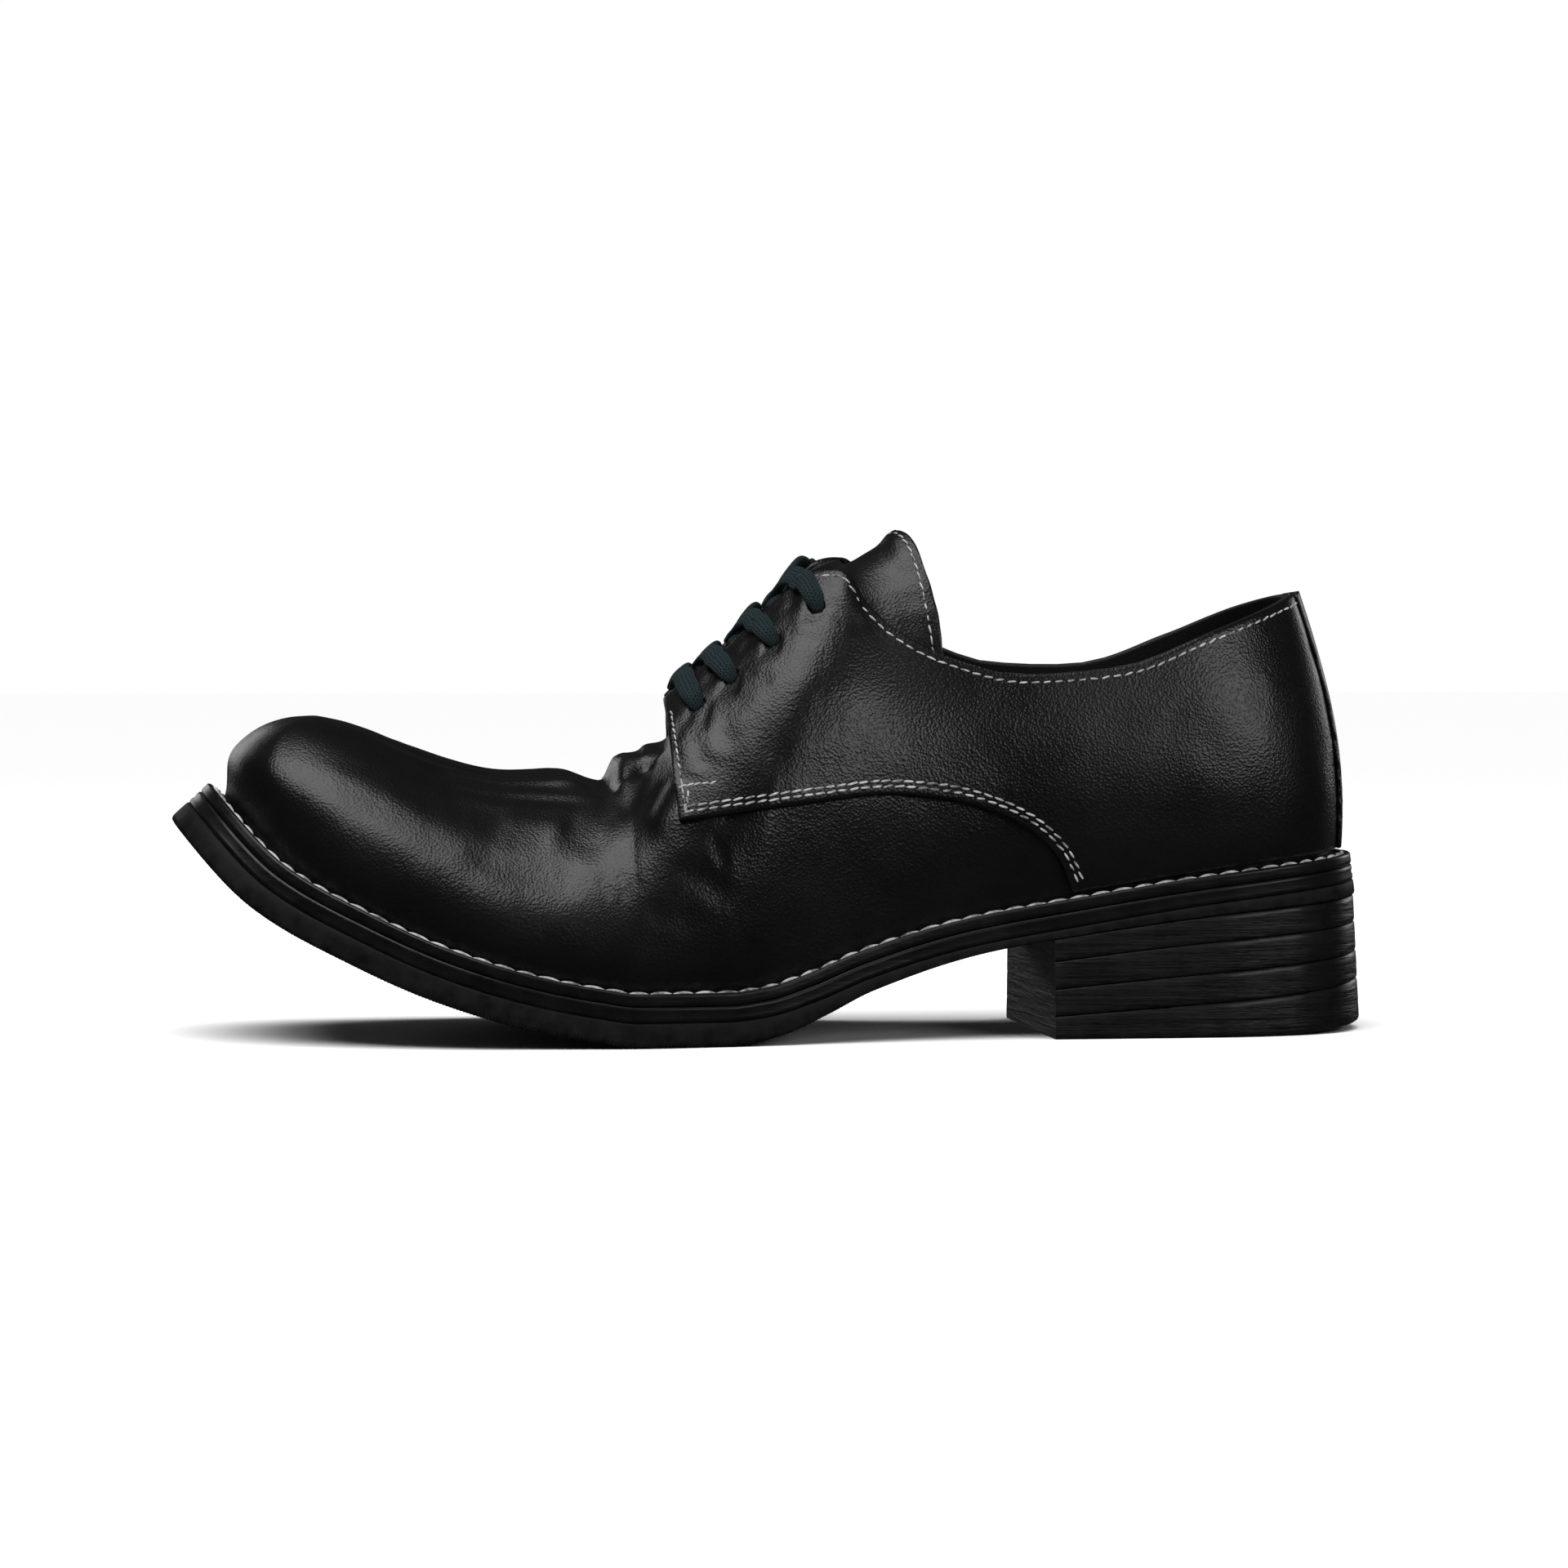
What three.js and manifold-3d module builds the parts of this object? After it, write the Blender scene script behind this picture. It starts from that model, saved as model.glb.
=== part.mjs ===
// Black leather derby shoe for the left foot, standing on its sole and heel.
// Millimetres, +Z up, toe toward -X, outer (lateral) side toward -Y.
import * as THREE from 'three';
import { mergeVertices } from 'three/addons/utils/BufferGeometryUtils.js';
import Module from 'manifold-3d';

const wasm = await Module();
wasm.setup();

// Driving dimensions
const lastLength = 290;
const soleWidth = 100;
const toeSpring = 53;
const seatRise = 31.4;
const toeSwing = 6;
const upperHeight = 100;
const innerSideRise = 3;
const facingStagger = 5;
const upperWall = 1.8;
const facingThickness = 1.3;
const backstayThickness = 1.1;
const tongueThickness = 2;
const insoleThickness = 5.2;
const weltThickness = 3;
const weltReveal = 5;
const midsoleThickness = 3.3;
const foreSoleThickness = 6;
const waistSoleThickness = 3.2;
const breastSoleThickness = 2.2;
const rearSoleThickness = 3.8;
const soleEdgeBevel = 1.2;
const heelBreastAt = 64;
const heelFlare = 1.6;
const heelBevelRise = 2;
const heelBevelStart = 104;
const liftCrown = 0.6;
const featherAllowance = 0.6;
const midsoleInset = 0.1;
const weltRounding = 0.9;
const laceWidth = 5.6;
const laceThickness = 1.8;
const eyeletSetback = 13.5;
const backstayHalfWidth = 13;
const seatGap = 0.3;
const overlayGap = 0.4;
const laceGap = 0.6;

// Mesh steps
const outlineSteps = 40;
const heelSteps = 18;
const lowerSteps = 7;
const upperSteps = 3;
const probe = 0.002;

// Rows of numbers under named columns
function table(columns, rows) {
  return rows.map((row) => Object.fromEntries(columns.map((column, i) => [column, row[i]])));
}

// The outsole's top face seen from the side. along: share of the last's length from the middle,
// lift: share of the toe spring ahead of the ball and of the seat rise behind it
const toeLine = table(
  ['along', 'lift'],
  [
    [-0.503, 1],
    [-0.431, 0.59],
    [-0.359, 0.37],
    [-0.291, 0.205],
    [-0.219, 0.084],
    [-0.166, 0.025],
    [-0.131, 0],
    [-0.059, 0],
  ],
);
const seatLine = table(
  ['along', 'lift'],
  [
    [-0.021, 0.038],
    [0.017, 0.14],
    [0.062, 0.3],
    [0.149, 0.526],
    [0.228, 0.655],
    [0.359, 0.845],
    [0.503, 1],
  ],
);

// The sole's plan. turn: 0 at the toe and 1 at the heel. outer and inner: half widths from the centre line,
// share of the sole's width. swing: share of the toe's swing to the inner side
const plan = table(
  ['turn', 'outer', 'inner', 'swing'],
  [
    [0, 0, 0, 1],
    [0.05, 0.135, 0.135, 1],
    [0.1, 0.255, 0.255, 0.98],
    [0.16, 0.37, 0.345, 0.93],
    [0.22, 0.458, 0.405, 0.83],
    [0.28, 0.518, 0.443, 0.7],
    [0.34, 0.55, 0.46, 0.55],
    [0.4, 0.55, 0.445, 0.38],
    [0.46, 0.51, 0.395, 0.2],
    [0.52, 0.44, 0.335, 0.08],
    [0.58, 0.382, 0.297, 0.02],
    [0.64, 0.358, 0.308, 0],
    [0.7, 0.355, 0.33, 0],
    [0.76, 0.35, 0.336, 0],
    [0.82, 0.318, 0.31, 0],
    [0.88, 0.248, 0.245, 0],
    [0.94, 0.135, 0.135, 0],
    [1, 0, 0, 0],
  ],
);

// The last's sections. Each rib climbs from the welt past an edge point to the ridge. The edge point lies on
// the throat or the collar, and on the shoulder of the closed vamp. at: share of the last's length;
// half: share of the sole's width; rise: share of the upper's height above the welt;
// lean: degrees from level at the edge point; stagger and lift: how much of the facing's stagger
// and of the inner side's rise the inner side takes
const sections = table(
  ['turn', 'edgeAt', 'edgeHalf', 'edgeRise', 'lean', 'ridgeAt', 'ridgeRise', 'stagger', 'lift'],
  [
    [0, -0.458, 0, 0.213, 50, -0.393, 0.416, 0, 0],
    [0.07, -0.448, 0.132, 0.23, 48, -0.393, 0.416, 0, 0],
    [0.14, -0.423, 0.234, 0.272, 43, -0.393, 0.416, 0, 0],
    [0.2, -0.381, 0.26, 0.328, 38, -0.39, 0.42, 0, 0],
    [0.27, -0.321, 0.25, 0.37, 34, -0.338, 0.45, 0, 0],
    [0.33, -0.255, 0.24, 0.38, 31, -0.266, 0.452, 0, 0],
    [0.38, -0.186, 0.23, 0.425, 31, -0.197, 0.492, 0, 0],
    [0.41, -0.138, 0.185, 0.53, 33, -0.145, 0.6, 0, 0],
    [0.44, -0.096, 0.146, 0.684, 26, -0.094, 0.714, 0.6, 0.3],
    [0.47, -0.045, 0.135, 0.803, 28, -0.045, 0.82, 0.6, 0.5],
    [0.5, 0, 0.137, 0.905, 33, -0.003, 0.912, 0.8, 0.9],
    [0.52, 0.026, 0.152, 0.943, 41, 0.021, 0.946, 1.1, 1.3],
    [0.54, 0.047, 0.185, 0.926, 51, 0.043, 0.956, 1.25, 1.4],
    [0.56, 0.066, 0.22, 0.83, 60, 0.063, 0.964, 1.2, 1.2],
    [0.59, 0.093, 0.25, 0.732, 67, 0.082, 0.977, 0.9, 1.3],
    [0.63, 0.133, 0.273, 0.64, 72, 0.0985, 1.002, 0.5, 1.6],
    [0.68, 0.2, 0.287, 0.556, 76, 0.2, 1.02, 0.3, 1.1],
    [0.74, 0.283, 0.28, 0.536, 77, 0.276, 1.02, 0.2, 0.4],
    [0.8, 0.355, 0.25, 0.582, 75, 0.338, 1.02, 0.1, 0.2],
    [0.87, 0.408, 0.18, 0.622, 73, 0.36, 1.02, 0, 0.4],
    [0.94, 0.439, 0.092, 0.648, 71, 0.36, 1.02, 0, 0.2],
    [1, 0.449, 0, 0.658, 71, 0.36, 1.02, 0, 0],
  ],
);

// The walked-in folds across the vamp. at, ahead and behind: share of the last's length;
// depth: share of the upper's height; foot and full: how far up the rib it starts and is at its deepest
const folds = table(
  ['at', 'depth', 'ahead', 'behind', 'foot', 'full'],
  [
    [-0.097, 0.125, 0.09, 0.04, 0.4, 1.15],
    [-0.15, 0.056, 0.048, 0.013, 0.7, 1.7],
    [-0.13, -0.013, 0.014, 0.018, 0.6, 1.5],
  ],
);

// The lower seam of the quarter, from its front corner down to the welt. at: share of the last's length;
// rise: height above the floor, share of the upper's height
const quarterSeam = table(
  ['at', 'rise'],
  [
    [-0.11, 0.525],
    [-0.05, 0.552],
    [0.018, 0.58],
    [0.079, 0.596],
    [0.127, 0.585],
    [0.168, 0.555],
    [0.202, 0.506],
    [0.226, 0.437],
    [0.241, 0.34],
  ],
);

// The stacked heel, from the sole down. breast and back: share of the heel's height that each layer ends at
const heelLayers = table(
  ['name', 'breast', 'back'],
  [
    ['heel_lift_1', 0.22, 0.21],
    ['heel_lift_2', 0.5, 0.44],
    ['heel_lift_3', 0.77, 0.66],
    ['heel_top_piece', 1, 1],
  ],
);

// Where the ribs of the mesh stand: closer together over the folds and the facing's corner
const ribSpans = table(
  ['from', 'to', 'ribs'],
  [
    [0, 0.2, 6],
    [0.2, 0.36, 4],
    [0.36, 0.44, 8],
    [0.44, 0.46, 2],
    [0.46, 0.5, 2],
    [0.5, 0.59, 5],
    [0.59, 0.63, 2],
    [0.63, 0.67, 4],
    [0.67, 0.8, 4],
    [0.8, 1, 6],
  ],
);
const facingFrontTurn = 0.44;
const throatTurn = 0.46;
const tongueRootTurn = 0.48;
const tongueEndTurn = 0.63;
const eyeletTurns = [0.454, 0.47, 0.493, 0.52];
const foldStartTurn = 0.3;
const foldFadeTurn = 0.47;
const quarterEndTurn = 0.994;

const flatHeight = foreSoleThickness;
const middleX = 0.8;
const middleY = 1.65;
const halfOutline = lastLength / 2;

// Smooth interpolation
function smoothColumn(rows, key, column) {
  const at = rows.map((row) => row[key]);
  const value = rows.map((row) => row[column]);
  const slope = at.slice(1).map((x, i) => (value[i + 1] - value[i]) / (x - at[i]));
  const tangent = at.map((x, i) => {
    if (i === 0) return slope[0];
    if (i === at.length - 1) return slope[i - 1];
    if (slope[i - 1] * slope[i] <= 0) return 0;
    const before = at[i] - at[i - 1];
    const after = at[i + 1] - at[i];
    const w1 = 2 * after + before;
    const w2 = after + 2 * before;
    return (w1 + w2) / (w1 / slope[i - 1] + w2 / slope[i]);
  });
  return (x) => {
    let i = 0;
    while (i < at.length - 2 && x > at[i + 1]) i += 1;
    const span = at[i + 1] - at[i];
    const t = (x - at[i]) / span;
    if (t < 0) return value[0] + tangent[0] * (x - at[0]);
    if (t > 1) return value[i + 1] + tangent[i + 1] * (x - at[i + 1]);
    const rest = 1 - t;
    const pull = tangent[i] * span * t * rest * rest - tangent[i + 1] * span * t * t * rest;
    return value[i] * rest * rest * (1 + 2 * t) + value[i + 1] * t * t * (3 - 2 * t) + pull;
  };
}

// The sole as a bent sheet
const soleLine = [
  ...toeLine.map((row) => ({ x: row.along * lastLength, z: flatHeight + row.lift * toeSpring })),
  ...seatLine.map((row) => ({ x: row.along * lastLength, z: flatHeight + row.lift * seatRise })),
];
const lineHeight = smoothColumn(soleLine, 'x', 'z');
const slopeStep = 0.5;

function lineSlope(x) {
  return Math.atan2(lineHeight(x + slopeStep) - lineHeight(x - slopeStep), 2 * slopeStep);
}

function onSheet(x, y, height) {
  const tilt = lineSlope(x);
  return new THREE.Vector3(x - height * Math.sin(tilt), y, lineHeight(x) + height * Math.cos(tilt));
}

const soleThickness = smoothColumn([
  { x: -0.06 * lastLength, thickness: foreSoleThickness },
  { x: -0.059 * lastLength, thickness: foreSoleThickness },
  { x: 0.06 * lastLength, thickness: waistSoleThickness },
  { x: 0.2 * lastLength, thickness: breastSoleThickness },
  { x: 0.36 * lastLength, thickness: (breastSoleThickness + rearSoleThickness) / 2 },
  { x: 0.5 * lastLength, thickness: rearSoleThickness },
  { x: 0.51 * lastLength, thickness: rearSoleThickness },
], 'x', 'thickness');

// The sole's outline in plan. side is -1 on the outer side of the foot and 1 on the inner side
const outerHalf = smoothColumn(plan, 'turn', 'outer');
const innerHalf = smoothColumn(plan, 'turn', 'inner');
const swingShare = smoothColumn(plan, 'turn', 'swing');

function centreLine(turn) {
  return middleY + toeSwing * swingShare(Math.min(Math.max(turn, 0), 1));
}

function turnAt(x) {
  return Math.acos((middleX - x) / halfOutline) / Math.PI;
}

function outlinePoint(turn, side) {
  let at = turn;
  let hand = side;
  if (at < 0) {
    at = -at;
    hand = -hand;
  }
  if (at > 1) {
    at = 2 - at;
    hand = -hand;
  }
  const half = soleWidth * (hand < 0 ? outerHalf(at) : innerHalf(at));
  return new THREE.Vector2(middleX - halfOutline * Math.cos(Math.PI * at), centreLine(at) + hand * half);
}

function outwardNormal(turn, side) {
  const step = outlinePoint(turn + probe, side).sub(outlinePoint(turn - probe, side));
  return new THREE.Vector2(-step.y * side, step.x * side).normalize();
}

// Insets are measured on the sheet, so in plan they shorten where it climbs
function insetPoint(turn, side, inset) {
  const edge = outlinePoint(turn, side);
  const away = outwardNormal(turn, side);
  away.x *= Math.cos(lineSlope(edge.x));
  return edge.addScaledVector(away, -inset);
}

// Faces and solids
function skin() {
  const corners = [];
  const same = (a, b) => a.distanceToSquared(b) < 1e-8;
  const triangle = (a, b, c) => {
    if (same(a, b) || same(b, c) || same(c, a)) return;
    corners.push(a, b, c);
  };
  const quad = (a, b, c, d) => {
    triangle(a, b, c);
    triangle(a, c, d);
  };
  return { corners, triangle, quad };
}

function signedVolume(corners) {
  let total = 0;
  for (let i = 0; i < corners.length; i += 3) {
    total += corners[i].dot(new THREE.Vector3().crossVectors(corners[i + 1], corners[i + 2]));
  }
  return total / 6;
}

function closedGeometry(corners) {
  const ordered = signedVolume(corners) > 0 ? corners : [...corners].reverse();
  const positions = new Float32Array(ordered.flatMap((corner) => [corner.x, corner.y, corner.z]));
  const geometry = new THREE.BufferGeometry();
  geometry.setAttribute('position', new THREE.BufferAttribute(positions, 3));
  const merged = mergeVertices(geometry, 1e-3);
  merged.computeVertexNormals();
  return merged;
}

// A closed loop of stacked rings with caps across from side to side
function ringStack(rings, capped) {
  const faces = skin();
  const count = rings[0].length;
  const levels = capped ? rings.length - 1 : rings.length;
  for (let r = 0; r < levels; r += 1) {
    const low = rings[r];
    const high = rings[(r + 1) % rings.length];
    for (let i = 0; i < count; i += 1) {
      const next = (i + 1) % count;
      faces.quad(low[i], low[next], high[next], high[i]);
    }
  }
  if (capped) {
    pairCap(faces, rings[0], true);
    pairCap(faces, rings[rings.length - 1], false);
  }
  return closedGeometry(faces.corners);
}

// Point i and its partner from the loop's end lie at the same place along the shoe
function pairCap(faces, ring, downward) {
  const last = ring.length - 1;
  for (let i = 0; i < last - i; i += 1) {
    const corners = [ring[i], ring[i + 1], ring[last - i - 1], ring[last - i]];
    if (downward) corners.reverse();
    faces.quad(...corners);
  }
}

// A sheet with an outer and an inner face, each a grid of rows, closed round its four edges
function sheetSolid(outer, inner) {
  const faces = skin();
  const rows = outer.length;
  const columns = outer[0].length;
  for (let i = 0; i < rows - 1; i += 1) {
    for (let j = 0; j < columns - 1; j += 1) {
      faces.quad(outer[i][j], outer[i + 1][j], outer[i + 1][j + 1], outer[i][j + 1]);
      faces.quad(inner[i][j], inner[i][j + 1], inner[i + 1][j + 1], inner[i + 1][j]);
    }
    faces.quad(outer[i][0], inner[i][0], inner[i + 1][0], outer[i + 1][0]);
    const end = columns - 1;
    faces.quad(outer[i][end], outer[i + 1][end], inner[i + 1][end], inner[i][end]);
  }
  for (let j = 0; j < columns - 1; j += 1) {
    faces.quad(outer[0][j], outer[0][j + 1], inner[0][j + 1], inner[0][j]);
    const end = rows - 1;
    faces.quad(outer[end][j], inner[end][j], inner[end][j + 1], outer[end][j + 1]);
  }
  return closedGeometry(faces.corners);
}

// The sole's layers
const midsoleBase = seatGap;
const midsoleTop = midsoleBase + midsoleThickness;
const weltBase = midsoleTop + seatGap;
const weltTop = weltBase + weltThickness;
const featherHeight = weltTop + overlayGap;
const weltInner = weltReveal + upperWall + featherAllowance;

// The loop starts and ends at the toe, once for each side, so that both halves pair up
function soleLoop(inset, heightAt) {
  const ring = [];
  for (const side of [-1, 1]) {
    for (let i = 0; i <= outlineSteps; i += 1) {
      const turn = side < 0 ? i / outlineSteps : 1 - i / outlineSteps;
      const place = insetPoint(turn, side, inset);
      ring.push(onSheet(place.x, place.y, heightAt(place.x)));
    }
  }
  return ring;
}

function outsoleGeometry() {
  const bottom = (x) => -soleThickness(x);
  const shoulder = (x) => -soleThickness(x) + soleEdgeBevel;
  return ringStack([
    soleLoop(soleEdgeBevel, bottom),
    soleLoop(0, shoulder),
    soleLoop(0, () => 0),
  ], true);
}

function midsoleGeometry() {
  return ringStack([
    soleLoop(midsoleInset, () => midsoleBase),
    soleLoop(midsoleInset, () => midsoleTop),
  ], true);
}

function weltGeometry() {
  return ringStack([
    soleLoop(weltRounding / 2, () => weltBase),
    soleLoop(0, () => weltBase + weltRounding),
    soleLoop(0, () => weltTop - weltRounding),
    soleLoop(weltRounding, () => weltTop),
    soleLoop(weltInner, () => weltTop),
    soleLoop(weltInner, () => weltBase),
  ], false);
}

function insoleGeometry() {
  const edge = weltInner + seatGap;
  const base = midsoleTop + seatGap;
  return ringStack([
    soleLoop(edge, () => base),
    soleLoop(edge, () => base + insoleThickness - weltRounding),
    soleLoop(edge + weltRounding, () => base + insoleThickness),
  ], true);
}

// The heel
const rearX = middleX + halfOutline;

function heelTopHeight(x) {
  return onSheet(x, 0, -soleThickness(x)).z - seatGap;
}

function heelFloor(x) {
  const share = Math.max(0, (x - heelBevelStart) / (rearX - heelBevelStart));
  return heelBevelRise * share * share;
}

function heelHeight(x, breastShare, backShare) {
  const back = (x - heelBreastAt) / (rearX - heelBreastAt);
  const share = breastShare + (backShare - breastShare) * back;
  return heelTopHeight(x) + (heelFloor(x) - heelTopHeight(x)) * share;
}

function heelRing(inset, heightAt) {
  const ring = [];
  const start = turnAt(heelBreastAt);
  for (const side of [-1, 1]) {
    for (let i = 0; i <= heelSteps; i += 1) {
      const share = side < 0 ? i / heelSteps : 1 - i / heelSteps;
      const place = insetPoint(start + (1 - start) * share, side, inset);
      const x = share === 0 ? heelBreastAt : place.x;
      ring.push(new THREE.Vector3(x, place.y, heightAt(x)));
    }
  }
  return ring;
}

function heelLayerGeometry(index) {
  const below = heelLayers[index];
  const above = index === 0 ? { breast: 0, back: 0 } : heelLayers[index - 1];
  const lastOne = index === heelLayers.length - 1;
  const top = (x) => heelHeight(x, above.breast, above.back) - (index === 0 ? 0 : seatGap);
  const bottom = (x) => heelHeight(x, below.breast, below.back);
  const between = (share) => (x) => bottom(x) + (top(x) - bottom(x)) * share;
  const flare = (share) => -heelFlare * (above.back + (below.back - above.back) * share);
  const foot = lastOne ? liftCrown * 2 : liftCrown;
  return ringStack([
    heelRing(flare(1) + foot, bottom),
    heelRing(flare(0.75), between(0.25)),
    heelRing(flare(0.25), between(0.75)),
    heelRing(flare(0) + liftCrown, top),
  ], true);
}

// The last's surface. turn runs from toe to heel.
// climb runs from the welt at 0 past the edge line at 1 to the ridge at 2.
const section = {};
for (const column of Object.keys(sections[0]).slice(1)) {
  section[column] = smoothColumn(sections, 'turn', column);
}
const lowPull = 0.4;
const sidePull = 0.36;
const topPull = 0.36;
const toeFlare = 32;
const sideFlare = 11;
const heelTurnIn = 10;
const flareSpan = 0.25;
const degree = Math.PI / 180;

function weltHeightAt(x) {
  return onSheet(x, 0, weltTop).z;
}

function bezier(p0, p1, p2, p3, t) {
  const r = 1 - t;
  return new THREE.Vector3()
    .addScaledVector(p0, r * r * r)
    .addScaledVector(p1, 3 * r * r * t)
    .addScaledVector(p2, 3 * r * t * t)
    .addScaledVector(p3, t * t * t);
}

function edgeLinePoint(turn, side) {
  const x = section.edgeAt(turn) * lastLength;
  const y = centreLine(turnAt(x)) + side * section.edgeHalf(turn) * soleWidth;
  const z = weltHeightAt(x) + section.edgeRise(turn) * upperHeight;
  if (side < 0) return new THREE.Vector3(x, y, z);
  const ahead = section.stagger(turn) * facingStagger;
  return new THREE.Vector3(x + ahead, y, z + section.lift(turn) * innerSideRise);
}

function ridgePoint(turn) {
  const x = section.ridgeAt(turn) * lastLength;
  const z = weltHeightAt(x) + section.ridgeRise(turn) * upperHeight;
  return new THREE.Vector3(x, centreLine(turnAt(x)), z);
}

function flareAt(turn) {
  const toe = Math.max(0, 1 - turn / flareSpan);
  const heel = Math.max(0, (turn - 1) / flareSpan + 1);
  return (sideFlare + (toeFlare - sideFlare) * toe + (heelTurnIn - sideFlare) * heel) * degree;
}

function featherPoint(turn, side) {
  const place = insetPoint(turn, side, weltReveal);
  return onSheet(place.x, place.y, featherHeight);
}

function lastPoint(turnIn, sideIn, climbIn) {
  let turn = turnIn;
  let side = sideIn;
  let climb = climbIn;
  if (climb > 2) {
    climb = 4 - climb;
    side = -side;
  }
  if (turn < 0) {
    turn = -turn;
    side = -side;
  }
  if (turn > 1) {
    turn = 2 - turn;
    side = -side;
  }
  const foot = featherPoint(turn, side);
  const edge = edgeLinePoint(turn, side);
  const ridge = ridgePoint(turn);
  const inward = new THREE.Vector3(ridge.x - edge.x, ridge.y - edge.y, 0).normalize();
  const lean = section.lean(turn) * degree;
  const past = inward.clone().multiplyScalar(Math.cos(lean)).setZ(Math.sin(lean));
  if (climb <= 1) {
    const outline = outwardNormal(turn, side);
    const tilt = lineSlope(foot.x);
    const flare = flareAt(turn);
    const start = new THREE.Vector3(-Math.sin(tilt), 0, Math.cos(tilt)).multiplyScalar(Math.cos(flare));
    start.add(new THREE.Vector3(outline.x * Math.cos(tilt), outline.y, outline.x * Math.sin(tilt))
      .multiplyScalar(Math.sin(flare)));
    const chord = foot.distanceTo(edge);
    const low = foot.clone().addScaledVector(start, chord * lowPull);
    const high = edge.clone().addScaledVector(past, -chord * sidePull);
    return bezier(foot, low, high, edge, climb);
  }
  const slope = ridgeSlope(turn);
  const across = new THREE.Vector3(inward.x, inward.y, inward.x * slope).normalize();
  const chord = edge.distanceTo(ridge);
  const low = edge.clone().addScaledVector(past, chord * topPull);
  const high = ridge.clone().addScaledVector(across, -chord * topPull);
  return bezier(edge, low, high, ridge, climb - 1);
}

function ridgeSlope(turn) {
  const before = ridgePoint(turn - probe);
  const after = ridgePoint(turn + probe);
  const run = after.x - before.x;
  return Math.abs(run) < 0.01 ? 0 : (after.z - before.z) / run;
}

function easeBetween(from, to, value) {
  const share = Math.min(1, Math.max(0, (value - from) / (to - from)));
  return share * share * (3 - 2 * share);
}

// How deep the folds lie below the last's surface. They die out under the facings
function foldDepth(turn, climb) {
  if (turn > foldFadeTurn || turn < foldStartTurn) return 0;
  const x = section.ridgeAt(turn) * lastLength;
  let depth = 0;
  for (const fold of folds) {
    const away = x - fold.at * lastLength;
    const width = (away < 0 ? fold.ahead : fold.behind) * lastLength;
    if (Math.abs(away) >= width) continue;
    const along = Math.cos((Math.PI / 2) * (away / width));
    const up = climb > 2 ? 4 - climb : climb;
    depth += fold.depth * upperHeight * along * along * easeBetween(fold.foot, fold.full, up);
  }
  return depth;
}

function leatherPoint(turn, side, climb) {
  const point = lastPoint(turn, side, climb);
  point.z -= foldDepth(turn, climb);
  return point;
}

// The outward normal of a surface function, by small steps along its two directions
function surfaceNormal(surface, turn, side, climb) {
  if (climb > 2 - probe) {
    const ahead = surface(turn - probe, side, 2);
    const behind = surface(turn + probe, side, 2);
    const run = behind.sub(ahead);
    if (run.length() < 0.01) return new THREE.Vector3(0, 0, 1);
    return new THREE.Vector3(-run.z, 0, run.x).normalize();
  }
  const alongTurn = surface(turn + probe, side, climb).sub(surface(turn - probe, side, climb));
  const low = Math.max(0, climb - probe);
  const alongClimb = surface(turn, side, climb + probe).sub(surface(turn, side, low));
  return new THREE.Vector3().crossVectors(alongTurn, alongClimb).multiplyScalar(-side).normalize();
}

function shifted(surface, turn, side, climb, offset) {
  const point = surface(turn, side, climb);
  return point.addScaledVector(surfaceNormal(surface, turn, side, climb), offset);
}

const ribTurns = [0];
for (const span of ribSpans) {
  for (let i = 1; i <= span.ribs; i += 1) {
    ribTurns.push(span.from + ((span.to - span.from) * i) / span.ribs);
  }
}

function ribClimbs(turn) {
  const open = turn > throatTurn + probe;
  const climbs = [];
  for (let j = 0; j <= lowerSteps; j += 1) climbs.push(j / lowerSteps);
  for (let j = 1; j <= upperSteps; j += 1) climbs.push(open ? 1 : 1 + j / upperSteps);
  return climbs;
}

function upperGeometry() {
  const faces = skin();
  const last = ribTurns.length - 1;
  const columns = [];
  for (let i = 0; i <= last; i += 1) columns.push({ turn: ribTurns[i], side: -1 });
  for (let i = last - 1; i > 0; i -= 1) columns.push({ turn: ribTurns[i], side: 1 });
  const outer = columns.map(({ turn, side }) => {
    return ribClimbs(turn).map((climb) => leatherPoint(turn, side, climb));
  });
  const inner = columns.map(({ turn, side }) => ribClimbs(turn).map((climb, row) => {
    if (row > 0) return shifted(leatherPoint, turn, side, climb, -upperWall);
    const place = insetPoint(turn, side, weltReveal + upperWall);
    return onSheet(place.x, place.y, featherHeight);
  }));
  const rows = outer[0].length;
  const firstOpen = ribTurns.findIndex((turn) => turn > throatTurn + probe);
  for (let c = 0; c < columns.length; c += 1) {
    const next = (c + 1) % columns.length;
    for (let j = 0; j < rows - 1; j += 1) {
      faces.quad(outer[c][j], outer[next][j], outer[next][j + 1], outer[c][j + 1]);
      faces.quad(inner[c][j], inner[c][j + 1], inner[next][j + 1], inner[next][j]);
    }
    faces.quad(outer[c][0], inner[c][0], inner[next][0], outer[next][0]);
    if (c >= firstOpen - 1 && c <= columns.length - firstOpen) {
      const top = rows - 1;
      faces.quad(outer[c][top], outer[next][top], inner[next][top], inner[c][top]);
    }
  }
  return closedGeometry(faces.corners);
}

// The quarters with their facings, laid over the upper
const seamHeight = smoothColumn(quarterSeam.map((row) => ({
  x: row.at * lastLength,
  z: row.rise * upperHeight,
})), 'x', 'z');
const quarterFoot = 0.02;
const quarterRows = 7;
const halvings = 30;

function seamClimb(turn, side) {
  const above = (climb) => {
    const point = lastPoint(turn, side, climb);
    return point.z - seamHeight(point.x);
  };
  if (featherPoint(turn, side).x > quarterSeam[quarterSeam.length - 1].at * lastLength) return quarterFoot;
  let low = quarterFoot;
  let high = 1;
  if (above(low) > 0) return quarterFoot;
  for (let i = 0; i < halvings; i += 1) {
    const middle = (low + high) / 2;
    if (above(middle) > 0) high = middle;
    else low = middle;
  }
  return high;
}

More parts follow.
